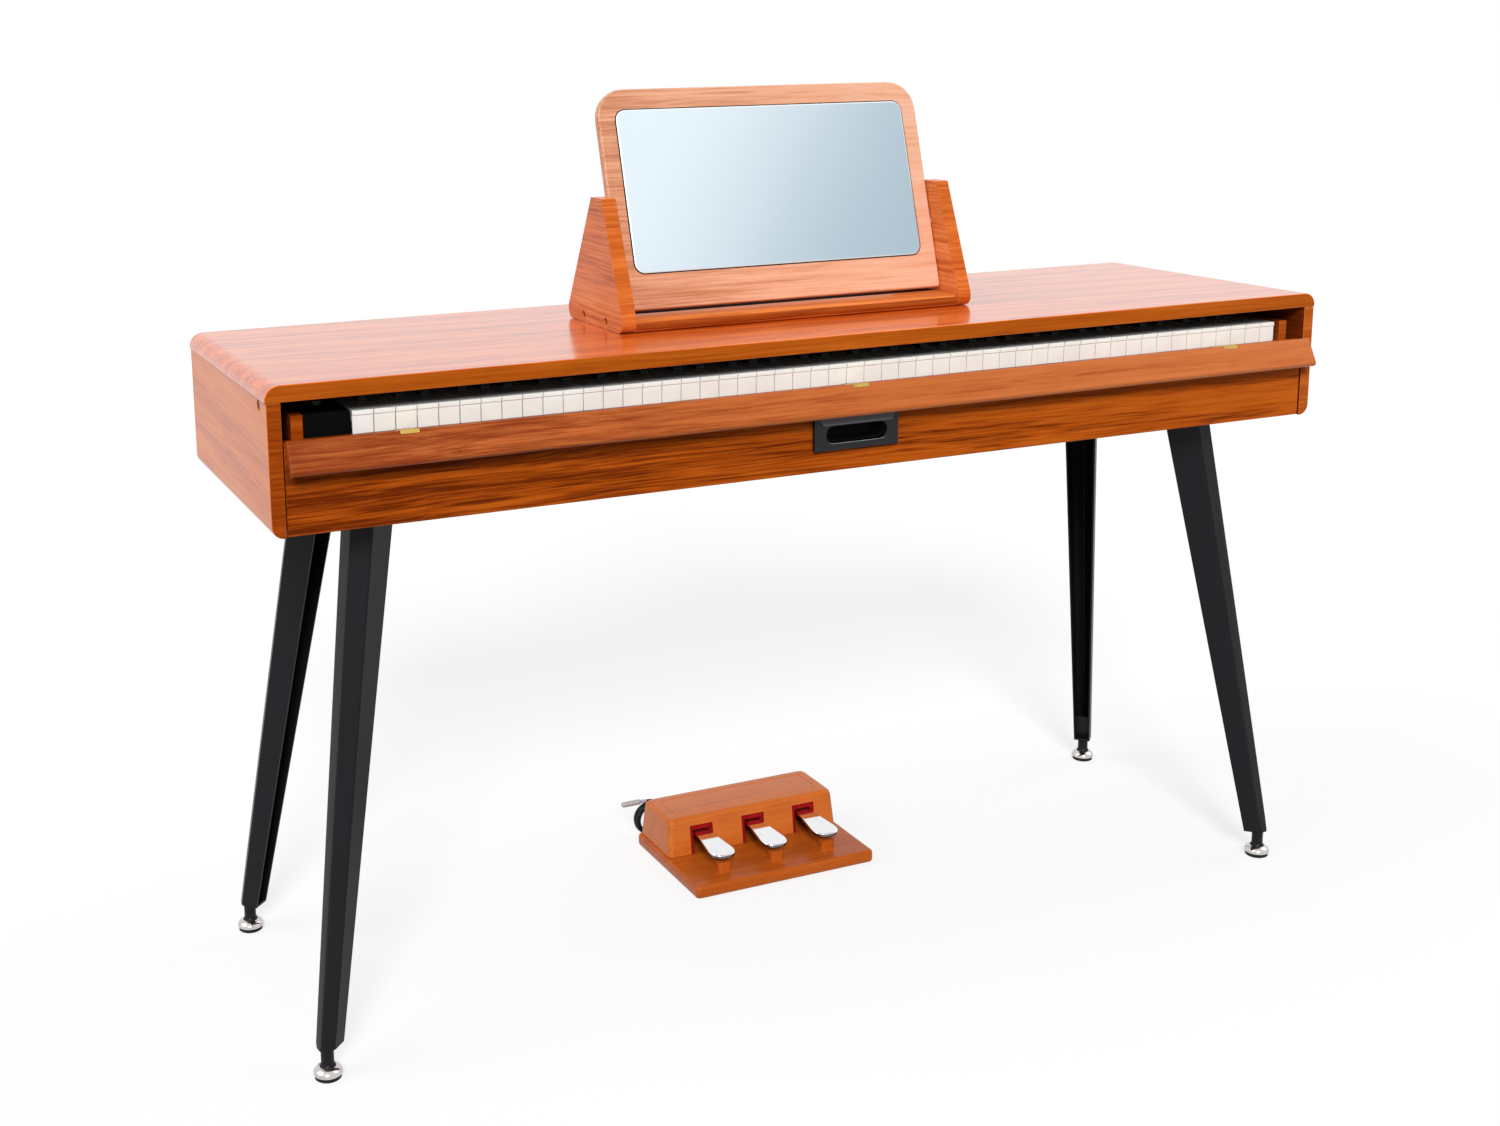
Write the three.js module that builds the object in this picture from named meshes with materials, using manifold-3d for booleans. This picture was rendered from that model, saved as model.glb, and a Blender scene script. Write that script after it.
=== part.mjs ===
// Writing-desk digital piano: a cabinet on four folded steel legs, a keyboard drawer with a
// drop flap, a tilting mirror on a stand and a separate pedal unit with its cord.
// Millimetres, +Z up, the player in front at -Y. The origin is the middle of the whole
// footprint, on the floor.
import * as THREE from 'three';
import { mergeVertices } from 'three/addons/utils/BufferGeometryUtils.js';
import Module from 'manifold-3d';

const wasm = await Module();
wasm.setup();

// Driving dimensions. The cabinet's front plane is y = 0 here, until the last section.
const cabinetWidth = 1352;
const cabinetDepth = 376;
const cabinetTop = 762.3;
const cabinetHeight = 157.3;
const whiteCount = 52;

// Clearances and overruns shared by all pieces
const seat = 0.3;
const overrun = 2;
const weld = 0.5;

// Cabinet boards
const topThick = 17.7;
const topOverhang = 1.5;
const topRound = 16;
const sideThick = 15;
const sideRound = 13;
const bottomThick = 15;
const bottomLift = 7;
const bottomSetback = 18;
const backThick = 12;

// Socket plate in the back panel
const socketPlateWidth = 150;
const socketPlateHeight = 42;
const socketPlateThick = 3;
const socketPlateInset = 231;
const socketRim = 5;
const powerSocketRadius = 3.2;
const pedalSocketRadius = 5.5;
const soundSocketRadius = 3.4;

// Drawer front, tray and cheeks
const frontThick = 15;
const frontSetback = 1;
const frontSideGap = 1.5;
const frontDrop = 1;
const frontEdge = 1;
const mouthHeight = 42.1;
const slideGap = 12.7;
const cheekThick = 13;
const cheekHeadroom = 17.6;
const trayThick = 12;
const trayLift = 5;
const trayBackGap = 14;

// Drawer slides
const slideHeight = 45;
const slideFrontGap = 40;
const slideSheet = 1.2;
const slideFlange = 6;
const slideRunning = 0.5;
const slideBackGap = 8;

// Keyboard case of black plastic
const endBlockWidth = 50.7;
const blockGap = 1.6;
const lastKeyGap = 0.9;
const caseFloor = 4;
const caseWall = 4;
const caseBackGap = 10;
const deckThick = 2.5;
const deckClear = 2.5;
const deckLip = 6;
const deckGap = 2;
const railWidth = 16;
const blockRound = 2;

// Keys
const keyHeadroom = 19.6;
const keySetback = 22;
const keyGap = 1;
const keySkirt = 21;
const keyPlate = 12;
const keySkirtThick = 4;
const keyEdge = 1.5;
const headLength = 51;
const keyFootLength = 10;
const keyTailEnd = 10;
const pivotToCaseBack = 80;
const blackLength = 98;
const blackRise = 12;
const blackWidth = 11;
const blackSlope = 5;
const blackEdge = 1.5;
const blackTopWidthShare = 0.87;
const blackRaise = 0.6;
const barThick = 4;
const barRaise = 1;

// Volume knob and power button on the end block
const knobRadius = 8;
const knobHeight = 6;
const knobSetback = 46;
const buttonRadius = 5;
const buttonHeight = 3;
const buttonPitch = 34;
const buttonTravel = 2;
const shaftShare = 0.45;
const knobTopShare = 0.94;
const controlSink = 9;

// Pull
const pullWidth = 110;
const pullHeight = 39;
const pullReach = 8.5;
const pullCorner = 7;
const pullBottomLift = 25.5;
const gripWidth = 77;
const gripHeight = 20;
const gripLift = 8;
const gripCorner = 9;
const pullBevel = 1.5;
const hoodDepth = 3;

// Flap and its three hinges
const flapThick = 9;
const flapHeadroom = 4.6;
const flapOpenAngle = THREE.MathUtils.degToRad(153);
const hingeForward = 2;
const hingeRaise = 0.5;
const flapHeel = 1;
const flapOffset = 2;
const flapHeelRound = 1;
const flapNoseFlat = 0.25;
const hingeWidth = 20;
const hingePin = 1.7;
const hingeLeaf = 0.8;
const hingeLeafDepth = 12;
const hingeInset = 127.5;

// Legs of folded sheet steel: the section's place and size at the two ends
const legSheet = 2.3;
const legTopInset = 112;
const legTopSetback = 78;
const legFootInset = 30;
const legFootSetback = 6.1;
const legMiddle = 193;
const legTopHalf = 20;
const legFootHalf = 11.4;
const legTopDepth = 41;
const legFootDepth = 21.3;
const legTopNose = 13;
const legFootNose = 8.8;
const legTopFlareShare = 1.11;
const legFootFlareShare = 1;
const legClearance = 35;
const legPlate = 3;
const legPlateSize = 96;
const legPlateCorner = 8;
const legWebHeight = 38;
const legWebShare = 0.62;

// Levelling feet
const footRadius = 16;
const footRubber = 5;
const footRubberStep = 1.5;
const footDome = 9;
const footNeck = 6;
const footNeckHeight = 6;
const footStem = 4;
const footStemTop = 16;
const footClear = 0.4;
const footForward = 3;

// Mirror stand on the top
const standHalf = 236;
const bracketThick = 18;
const bracketHeight = 150.5;
const bracketFootFront = 111.5;
const bracketFootDepth = 173;
const bracketTopFront = 173;
const bracketTopDepth = 30;
const bracketFootRound = 12;
const bracketTopRound = 2;
const standBaseFront = 120;
const standBaseDepth = 156;
const standBaseThick = 15;
const boltRadius = 4.5;
const boltDepth = 2;
const boltHeight = 8.5;
const boltFront = 165.3;
const boltPitch = 65;

// Mirror board and glass
const boardGap = 0.5;
const boardThick = 12;
const boardHeight = 263;
const boardCorner = 35;
const boardFootCorner = 4;
const boardEdge = 2.5;
const boardLean = THREE.MathUtils.degToRad(16.56);
const tiltHeight = 100;
const tiltSetback = 185.6;
const tiltDrop = 84.4;
const tiltPin = 5;
const tiltPinReach = 10;
const tiltPinClear = 0.3;
const glassMargin = 22.25;
const glassHeight = 194.5;
const glassCorner = 11;
const glassDrop = 25.8;
const glassThick = 4;
const glassRecess = 3;

// Pedal unit
const pedalPitch = 78;
const firstPedal = 54.5;
const pedalUnitLeft = -100;
const pedalUnitWidth = 2 * (firstPedal + pedalPitch);
const pedalUnitFront = 206;
const pedalUnitDepth = 186;
const pedalBaseThick = 17;
const pedalBaseCorner = 6;
const pedalBaseEdge = 4;
const boxSetback = 92;
const boxSideInset = 4.5;
const boxTopSideInset = 3.3;
const boxFrontSlope = 7.5;
const boxBackSlope = 6.3;
const boxHeight = 50;
const boxEdge = 7;
const boxInnerEdge = 1;
const boxShoulderShare = 0.9;
const boxWall = 9;
const slotWidth = 34;
const slotHeight = 38;
const pedalLength = 37;
const pedalNeck = 24;
const pedalThick = 5.5;
const pedalBevel = 1.2;
const pedalTipSetback = 23;
const pedalAxleSetback = 163;
const pedalAxleRaise = 30.5;
const pedalSlope = THREE.MathUtils.degToRad(3.3);
const pedalPadLength = 46;
const pedalHub = 5;
const bearingWidth = 20;
const bearingHalfDepth = 8;
const bearingClear = 0.3;
const bearingDip = 1.2;
const stopWidth = 19;
const stopSetback = 26;
const stopDepth = 14;
const stopHeight = 14;

// Pedal cord: gland in the box's back, lead, upright coil and its plug
const cordRadius = 1.5;
const cordSides = 8;
const glandRadius = 4;
const glandFlange = 6;
const glandFlangeThick = 3;
const glandShare = 0.55;
const glandX = -12;
const glandZ = 30;
const coilSides = 6;
const coilSteps = 24;
const coilTurns = 8.25;
const coilLayers = 4;
const coilRestShare = 0.375;
const coilOuter = 24;
const coilPitch = 3.6;
const coilLayerPitch = 3.7;
const coilX = -70;
const coilY = 408;
const plugRadius = 3.8;
const plugLength = 38;
const plugNeck = 2.2;
const plugNeckLength = 9;

// Speakers standing over slots in the case floor, tray and bottom panel
const speakerInset = 215;
const speakerWidth = 120;
const speakerDepth = 52;
const speakerHeight = 34;
const speakerRim = 3;
const speakerMagnetShare = 0.5;
const speakerConeShare = 0.55;
const speakerBasketShare = 0.77;
const speakerSetback = 40;
const soundSlotWidth = 92;
const soundSlotDepth = 34;

// Places worked out from the driving dimensions
const halfWidth = cabinetWidth / 2;
const inner = halfWidth - sideThick;
const underside = cabinetTop - topThick;
const sideBottom = cabinetTop - cabinetHeight;
const bottomUnder = sideBottom + bottomLift;
const bottomTop = bottomUnder + bottomThick;
const backFront = cabinetDepth - backThick;
const frontHalf = inner - frontSideGap;
const frontTop = underside - mouthHeight;
const frontBottom = sideBottom + frontDrop;
const frontBack = frontSetback + frontThick;
const trayBottom = bottomTop + trayLift;
const trayTop = trayBottom + trayThick;
const trayBack = backFront - trayBackGap;
const cheekOuter = inner - slideGap;
const cheekInner = cheekOuter - cheekThick;
const cheekTop = underside - cheekHeadroom;
const slideMiddle = (trayBottom + cheekTop) / 2;
const slideBack = backFront - slideBackGap;
const caseHalf = cheekInner - seat;
const caseBottom = trayTop + seat;
const caseFloorTop = caseBottom + caseFloor;
const caseBack = trayBack - caseBackGap;
const keyTop = underside - keyHeadroom;
const keyBottom = keyTop - keySkirt;
const plateBottom = keyTop - keyPlate;
const rowStart = -caseHalf + endBlockWidth + blockGap;
const keyPitch = (caseHalf - lastKeyGap - rowStart) / whiteCount;
const pivotY = caseBack - pivotToCaseBack;
const tailEnd = pivotY + keyTailEnd;
const headEnd = keySetback + headLength;
const blackFront = headEnd + keyGap;
const blackEnd = blackFront + blackLength;
const barBottom = keyTop + barRaise;
const deckUnder = barBottom + barThick + deckClear;
const deckTop = deckUnder + deckThick;
const deckFront = blackEnd + deckGap;
const blockTop = keyTop + keyGap;
const flapLength = underside - flapHeadroom - frontTop - hingeRaise - flapHeel;
const hingeY = frontSetback - hingeForward;
const hingeZ = frontTop + hingeRaise;
const speakerY = caseBack - speakerSetback;
const speakerX = caseHalf - speakerInset;
const socketPlateX = inner - socketPlateInset;
const boardHalf = standHalf - bracketThick - boardGap;
const glassHalf = boardHalf - glassMargin;

// Materials, with colours taken from the photograph by eye
const paint = (color, roughness, metalness) => (
  new THREE.MeshStandardMaterial({ color, roughness, metalness }));
const wood = paint('#b4602a', 0.45, 0);
const woodTop = paint('#c98a72', 0.4, 0);
const blackPlastic = paint('#15130f', 0.6, 0);
const whitePlastic = paint('#efe7e0', 0.25, 0);
const charcoal = paint('#33302d', 0.4, 0.1);
const steel = paint('#4a4b50', 0.45, 0.7);
const zinc = paint('#a8a9ab', 0.4, 0.9);
const chrome = paint('#d5d5d8', 0.12, 1);
const brass = paint('#c6973f', 0.3, 0.9);
const mirrorGlass = paint('#c9d3dc', 0.05, 1);
const greyPlastic = paint('#a9a0a2', 0.5, 0);

const piano = new THREE.Group();

// Turns a closed geometry into a solid that can be cut and joined.
function solid(geometry) {
  const bare = geometry.clone();
  bare.deleteAttribute('normal');
  bare.deleteAttribute('uv');
  const merged = mergeVertices(bare);
  return new wasm.Manifold(new wasm.Mesh({
    numProp: 3,
    vertProperties: merged.attributes.position.array,
    triVerts: Uint32Array.from(merged.index.array),
  }));
}

// Turns a solid back into a geometry.
function geometryOf(body) {
  const mesh = body.getMesh();
  const geometry = new THREE.BufferGeometry();
  geometry.setAttribute('position', new THREE.BufferAttribute(mesh.vertProperties, 3));
  geometry.setIndex(new THREE.BufferAttribute(mesh.triVerts, 1));
  geometry.computeVertexNormals();
  return geometry;
}

const join = (first, ...rest) => rest.reduce((sum, next) => sum.add(next), first);
const cut = (first, ...rest) => rest.reduce((left, next) => left.subtract(next), first);

// Adds a named sub-part, from a solid or a geometry, to the piano or to a group in it.
function addPart(name, shape, material, parent = piano) {
  const geometry = shape.isBufferGeometry ? shape : geometryOf(shape);
  const mesh = new THREE.Mesh(geometry, material);
  mesh.name = name;
  parent.add(mesh);
  return mesh;
}

// A plain block between two corners
function block(x0, x1, y0, y1, z0, z1) {
  const geometry = new THREE.BoxGeometry(x1 - x0, y1 - y0, z1 - z0);
  geometry.translate((x0 + x1) / 2, (y0 + y1) / 2, (z0 + z1) / 2);
  return solid(geometry);
}

// The points of an outline whose corners [x, y, radius] are rounded by short arcs
function rounded(corners, steps = 4) {
  const points = [];
  corners.forEach(([x, y, radius = 0], index) => {
    const corner = new THREE.Vector2(x, y);
    if (radius === 0) {
      points.push(corner);
      return;
    }
    const before = corners[(index + corners.length - 1) % corners.length];
    const after = corners[(index + 1) % corners.length];
    const back = new THREE.Vector2(before[0], before[1]).sub(corner).normalize();
    const ahead = new THREE.Vector2(after[0], after[1]).sub(corner).normalize();
    const half = Math.acos(back.dot(ahead)) / 2;
    const middle = back.clone().add(ahead).normalize();
    const centre = corner.clone().addScaledVector(middle, radius / Math.sin(half));
    const start = corner.clone().addScaledVector(back, radius / Math.tan(half)).sub(centre);
    const end = corner.clone().addScaledVector(ahead, radius / Math.tan(half)).sub(centre);
    const sweep = Math.atan2(start.cross(end), start.dot(end));
    for (let step = 0; step <= steps; step += 1) {
      const arm = start.clone().rotateAround(new THREE.Vector2(), (sweep * step) / steps);
      points.push(arm.add(centre));
    }
  });
  return points;
}

const rectangle = (x0, x1, y0, y1, radius = 0) => (
  [[x0, y0, radius], [x1, y0, radius], [x1, y1, radius], [x0, y1, radius]]);

// Prisms of an outline: along Z from (x, y), along Y from (x, z), along X from (y, z)
function prismZ(points, z0, z1, bevel = 0, bevelSegments = 2) {
  const geometry = new THREE.ExtrudeGeometry(new THREE.Shape(points), {
    depth: z1 - z0 - 2 * bevel,
    bevelEnabled: bevel > 0,
    bevelThickness: bevel,
    bevelSize: bevel,
    bevelOffset: -bevel,
    bevelSegments,
    steps: 1,
  });
  return geometry.translate(0, 0, z0 + bevel);
}

function prismY(points, y0, y1, bevel = 0) {
  const geometry = prismZ(points, -y1, -y0, bevel);
  return geometry.rotateX(Math.PI / 2);
}

function prismX(points, x0, x1, bevel = 0) {
  const geometry = prismZ(points, x0, x1, bevel);
  geometry.rotateX(Math.PI / 2);
  return geometry.rotateZ(Math.PI / 2);
}

// A closed skin through rings of equally many points, from the lowest to the highest
function loft(rings) {
  const count = rings[0].length;
  const positions = rings.flat().flatMap((point) => [point.x, point.y, point.z]);
  const flat = rings[0].map((point) => new THREE.Vector2(point.x, point.y));
  const cap = THREE.ShapeUtils.triangulateShape(flat, []);
  const last = (rings.length - 1) * count;
  const faces = [];
  cap.forEach(([a, b, c]) => {
    faces.push(c, b, a);
    faces.push(a + last, b + last, c + last);
  });
  for (let ring = 0; ring < rings.length - 1; ring += 1) {
    for (let side = 0; side < count; side += 1) {
      const a = ring * count + side;
      const b = ring * count + ((side + 1) % count);
      faces.push(a, b, b + count);
      faces.push(a, b + count, a + count);
    }
  }
  const geometry = new THREE.BufferGeometry();
  geometry.setAttribute('position', new THREE.Float32BufferAttribute(positions, 3));
  geometry.setIndex(faces);
  geometry.computeVertexNormals();
  return geometry;
}

// A round bar along Z
function rod(radius, x, y, z0, z1, sides = 20) {
  const geometry = new THREE.CylinderGeometry(radius, radius, z1 - z0, sides);
  geometry.rotateX(Math.PI / 2);
  geometry.translate(x, y, (z0 + z1) / 2);
  return solid(geometry);
}

// A round bar along Y
function rodY(radius, x, z, y0, y1, sides = 20) {
  const geometry = new THREE.CylinderGeometry(radius, radius, y1 - y0, sides);
  geometry.translate(x, (y0 + y1) / 2, z);
  return solid(geometry);
}

// A round bar along X
function rodX(radius, y, z, x0, x1, sides = 20) {
  const geometry = new THREE.CylinderGeometry(radius, radius, x1 - x0, sides);
  geometry.rotateZ(Math.PI / 2);
  geometry.translate((x0 + x1) / 2, y, z);
  return solid(geometry);
}

// A turned piece about Z from (radius, height) points that start and end on the axis
function turned(profile, segments = 24) {
  const points = profile.map(([radius, height]) => new THREE.Vector2(radius, height));
  return new THREE.LatheGeometry(points, segments).rotateX(Math.PI / 2);
}

const mirrored = (body, sign) => (sign > 0 ? body : body.mirror([1, 0, 0]));

// The sound slots under each speaker, from one height to another
function soundSlots(z0, z1) {
  return [-1, 1].map((sign) => {
    const middle = sign * speakerX;
    const outline = rounded(rectangle(
      middle - soundSlotWidth / 2,
      middle + soundSlotWidth / 2,
      speakerY - soundSlotDepth / 2,
      speakerY + soundSlotDepth / 2,
      soundSlotDepth / 4,
    ));
    return solid(prismZ(outline, z0 - overrun, z1 + overrun));
  });
}

function addCabinet() {
  const topHalf = halfWidth + topOverhang;
  const topOutline = rounded([
    [-topHalf, underside],
    [topHalf, underside],
    [topHalf, cabinetTop, topRound],
    [-topHalf, cabinetTop, topRound],
  ], 6);
  addPart('top_panel', prismY(topOutline, 0, cabinetDepth), woodTop);

  const sideOutline = rounded([
    [inner, sideBottom],
    [halfWidth, sideBottom, sideRound],
    [halfWidth, underside - seat],
    [inner, underside - seat],
  ], 6);
  const side = solid(prismY(sideOutline, 0, cabinetDepth));
  addPart('left_side_panel', mirrored(side, -1), wood);
  addPart('right_side_panel', side, wood);

  const bottom = block(
    -inner + seat,
    inner - seat,
    bottomSetback,
    backFront - seat,
    bottomUnder,
    bottomTop,
  );
  addPart('bottom_panel', cut(bottom, ...soundSlots(bottomUnder, bottomTop)), wood);

  const plateX0 = socketPlateX - socketPlateWidth / 2;
  const plateX1 = socketPlateX + socketPlateWidth / 2;
  const plateZ0 = slideMiddle - socketPlateHeight / 2;
  const plateZ1 = slideMiddle + socketPlateHeight / 2;
  const back = block(
    -inner + seat,
    inner - seat,
    backFront,
    cabinetDepth,
    bottomUnder,
    underside - seat,
  );
  const window = block(
    plateX0 + socketRim,
    plateX1 - socketRim,
    backFront - overrun,
    cabinetDepth + overrun,
    plateZ0 + socketRim,
    plateZ1 - socketRim,
  );
  const rebate = block(
    plateX0 - seat,
    plateX1 + seat,
    cabinetDepth - socketPlateThick - seat,
    cabinetDepth + overrun,
    plateZ0 - seat,
    plateZ1 + seat,
  );
  addPart('back_panel', cut(back, window, rebate), wood);

  const plate = block(
    plateX0,
    plateX1,
    cabinetDepth - socketPlateThick,
    cabinetDepth,
    plateZ0,
    plateZ1,
  );
  const sockets = [powerSocketRadius, pedalSocketRadius, soundSocketRadius, soundSocketRadius];
  const step = socketPlateWidth / (sockets.length + 1);
  const holes = sockets.map((radius, index) => rodY(
    radius,
    plateX1 - step * (index + 1),
    slideMiddle,
    cabinetDepth - socketPlateThick - overrun,
    cabinetDepth + overrun,
    16,
  ));
  addPart('socket_plate', cut(plate, ...holes), blackPlastic);
}

// A channel of bent sheet along Y: its web faces away from the open side
function channel(web, open, halfHeight) {
  const lip = Math.sign(open - web);
  const outline = [
    [web, -halfHeight],
    [open, -halfHeight],
    [open, slideSheet - halfHeight],
    [web + lip * slideSheet, slideSheet - halfHeight],
    [web + lip * slideSheet, halfHeight - slideSheet],
    [open, halfHeight - slideSheet],
    [open, halfHeight],
    [web, halfHeight],
  ].map(([x, z]) => new THREE.Vector2(x, slideMiddle + z));
  return solid(prismY(outline, frontBack + slideFrontGap, slideBack));
}

function addSlides() {
  const outerWeb = inner - seat;
  const innerWeb = cheekOuter + seat;
  const outerHalf = slideHeight / 2;
  const innerHalf = outerHalf - slideSheet - slideRunning;
  const middle = (outerWeb + innerWeb) / 2;
  const outer = channel(outerWeb, middle - slideFlange / 2, outerHalf);
  const rail = channel(innerWeb, middle + slideFlange / 2, innerHalf);
  addPart('left_slide_outer', mirrored(outer, -1), zinc);
  addPart('right_slide_outer', outer, zinc);
  addPart('left_slide_inner', mirrored(rail, -1), zinc);
  addPart('right_slide_inner', rail, zinc);
}

// The leg's section at a height: its place, and the folded sheet's outer and inner lines,
// with t across the section and n towards the cabinet's corner
function legSection(z) {
  const topZ = bottomUnder - seat;
  const share = (z - legClearance) / (topZ - legClearance);
  const mix = (foot, top) => foot + (top - foot) * share;
  const half = mix(legFootHalf, legTopHalf);
  const depth = mix(legFootDepth, legTopDepth);
  const nose = mix(legFootNose, legTopNose);
  const flare = half * mix(legFootFlareShare, legTopFlareShare);
  const x = mix(halfWidth - legFootInset, halfWidth - legTopInset);
  const y = mix(legFootSetback, legTopSetback);
  const outer = [[-flare, -depth], [-half, 0], [0, nose], [half, 0], [flare, -depth]]
    .map(([t, n]) => new THREE.Vector2(t, n));
  return { z, x, y, outer, inner: inset(outer, legSheet), depth };
}

// An open line moved to its right by a distance, with its corners kept sharp
function inset(line, distance) {
  const normals = line.slice(1).map((point, index) => {
    const along = point.clone().sub(line[index]).normalize();
    return new THREE.Vector2(along.y, -along.x);
  });
  return line.map((point, index) => {
    const before = normals[Math.max(index - 1, 0)];
    const after = normals[Math.min(index, normals.length - 1)];
    const middle = before.clone().add(after).normalize();
    return point.clone().addScaledVector(middle, distance / middle.dot(before));
  });
}

// A ring of (t, n) points placed in the front right leg's section
function legRing(section, points) {
  return points.map((point) => new THREE.Vector3(
    section.x + (point.x + point.y) * Math.SQRT1_2,
    section.y + (point.x - point.y) * Math.SQRT1_2,
    section.z,
  ));
}

// The strip that closes the section's open side near the floor
function webRing(section) {
  const [left, , , , right] = section.inner;
  const n = -section.depth * legWebShare;
  const half = Math.min(-left.x, right.x) + weld;
  return legRing(section, [
    new THREE.Vector2(-half, n),
    new THREE.Vector2(-half, n + legSheet),
    new THREE.Vector2(half, n + legSheet),
    new THREE.Vector2(half, n),
  ]);
}

function legSolid() {
  const topZ = bottomUnder - seat;
  const foot = legSection(legClearance);
  const plateTop = legSection(legClearance + legPlate);
  const webTop = legSection(legClearance + legWebHeight);
  const top = legSection(topZ - legPlate + weld);
  const sheet = (section) => legRing(
    section,
    [...section.outer, ...section.inner.slice().reverse()],
  );
  const fill = (section) => legRing(section, inset(section.outer, weld));
  const folded = solid(loft([sheet(foot), sheet(top)]));
  const floorPlate = solid(loft([fill(foot), fill(plateTop)]));
  const web = solid(loft([webRing(foot), webRing(webTop)]));
  const middle = legRing(top, [new THREE.Vector2(0, -top.depth / 2)])[0];
  const plate = solid(prismZ(
    rounded(rectangle(
      middle.x - legPlateSize / 2,
      middle.x + legPlateSize / 2,
      middle.y - legPlateSize / 2,
      middle.y + legPlateSize / 2,
      legPlateCorner,
    )),
    topZ - legPlate,
    topZ,
  ));
  const hole = rod(
    footStem + footClear,
    footCentre.x,
    footCentre.y,
    legClearance - overrun,
    legClearance + legPlate + overrun,
    16,
  );
  return cut(join(folded, floorPlate, web, plate), hole);
}

const footCentre = new THREE.Vector2(
  halfWidth - legFootInset - footForward,
  legFootSetback + footForward,
);

function footSolid() {
  const shell = footRubber + footDome;
  const profile = [
    [0, 0],
    [footRadius - footRubberStep, 0],
    [footRadius - footRubberStep, footRubber],
    [footRadius, footRubber],
    [footRadius * Math.cos(Math.PI / 8), footRubber + footDome * Math.sin(Math.PI / 6)],
    [footRadius * Math.cos(Math.PI / 4), shell - footDome * (1 - Math.cos(Math.PI / 6))],
    [footNeck, shell],
    [footNeck, shell + footNeckHeight],
    [footStem, shell + footNeckHeight],
    [footStem, legClearance + footStemTop],
    [0, legClearance + footStemTop],
  ];
  const geometry = turned(profile, 14);
  return solid(geometry.translate(footCentre.x, footCentre.y, 0));
}

function addLegs() {
  const leg = legSolid();
  const foot = footSolid();
  const corners = [['front', 'left'], ['front', 'right'], ['back', 'left'], ['back', 'right']];
  corners.forEach(([row, hand]) => {
    const place = (body) => {
      const turnedBack = row === 'back'
        ? body.mirror([0, 1, 0]).translate([0, 2 * legMiddle, 0])
        : body;
      return mirrored(turnedBack, hand === 'left' ? -1 : 1);
    };
    addPart(`${row}_${hand}_leg`, place(leg), steel);
    addPart(`${row}_${hand}_foot`, place(foot), chrome);
  });
}

function addDrawer() {
  const pullZ = frontBottom + pullBottomLift;
  const gripZ = pullZ + gripLift;
  const recess = solid(prismY(
    rounded(rectangle(-gripWidth / 2, gripWidth / 2, gripZ, gripZ + gripHeight, gripCorner)),
    -overrun,
    frontBack + overrun,
  ));
  const front = solid(prismY(
    rounded(rectangle(-frontHalf, frontHalf, frontBottom, frontTop)),
    frontSetback,
    frontBack,
    frontEdge,
  ));
  addPart('drawer_front', cut(front, recess), wood);

  const tray = block(
    -cheekInner + seat,
    cheekInner - seat,
    frontBack + seat,
    trayBack,
    trayBottom,
    trayTop,
  );
  addPart('drawer_tray', cut(tray, ...soundSlots(trayBottom, trayTop)), wood);

  const cheek = block(
    cheekInner,
    cheekOuter,
    frontBack + seat,
    trayBack,
    trayBottom,
    cheekTop,
  );
  addPart('left_cheek', mirrored(cheek, -1), wood);
  addPart('right_cheek', cheek, wood);
}

// The pull's back lies on the drawer front, and its upper lip leans out like a hood.
function addPull() {
  const pullZ = frontBottom + pullBottomLift;
  const gripZ = pullZ + gripLift;
  const back = frontSetback - seat;
  const plate = solid(prismY(
    rounded(rectangle(
      -pullWidth / 2,
      pullWidth / 2,
      pullZ,
      pullZ + pullHeight,
      pullCorner,
    )),
    back - pullReach,
    back,
    pullBevel,
  ));
  const grip = solid(prismY(
    rounded(rectangle(-gripWidth / 2, gripWidth / 2, gripZ, gripZ + gripHeight, gripCorner)),
    back - pullReach - overrun,
    back + overrun,
  ));
  const face = back - pullReach;
  const lean = solid(prismX(
    [
      [face - overrun, pullZ - overrun],
      [face + hoodDepth, pullZ - overrun],
      [face, gripZ + gripHeight],
      [face - overrun, gripZ + gripHeight],
    ].map(([y, z]) => new THREE.Vector2(y, z)),
    -pullWidth,
    pullWidth,
  ));
  addPart('drawer_pull', cut(plate, grip, lean), charcoal);
}

function addFlap() {
  const turnGroup = new THREE.Group();
  turnGroup.position.set(0, hingeY, hingeZ);
  turnGroup.rotation.x = flapOpenAngle;
  piano.add(turnGroup);
  const nose = (flapThick - flapNoseFlat) / 2;
  const outline = rounded([
    [flapOffset, flapHeel, flapHeelRound],
    [flapOffset + flapThick, flapHeel, flapHeelRound],
    [flapOffset + flapThick, flapHeel + flapLength, nose],
    [flapOffset, flapHeel + flapLength, nose],
  ], 5);
  addPart('flap', prismX(outline, -frontHalf, frontHalf), wood, turnGroup);

  const middles = [hingeInset - frontHalf, 0, frontHalf - hingeInset];
  ['left', 'middle', 'right'].forEach((name, index) => {
    const x0 = middles[index] - hingeWidth / 2;
    const x1 = middles[index] + hingeWidth / 2;
    const leafBottom = frontTop + seat;
    const leaf = block(
      x0,
      x1,
      hingeY,
      frontSetback + hingeLeafDepth,
      leafBottom,
      leafBottom + hingeLeaf,
    );
    const pin = rodX(hingePin, hingeY, hingeZ, x0, x1, 16);
    addPart(`flap_hinge_${name}`, join(leaf, pin), brass);
  });
}

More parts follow.
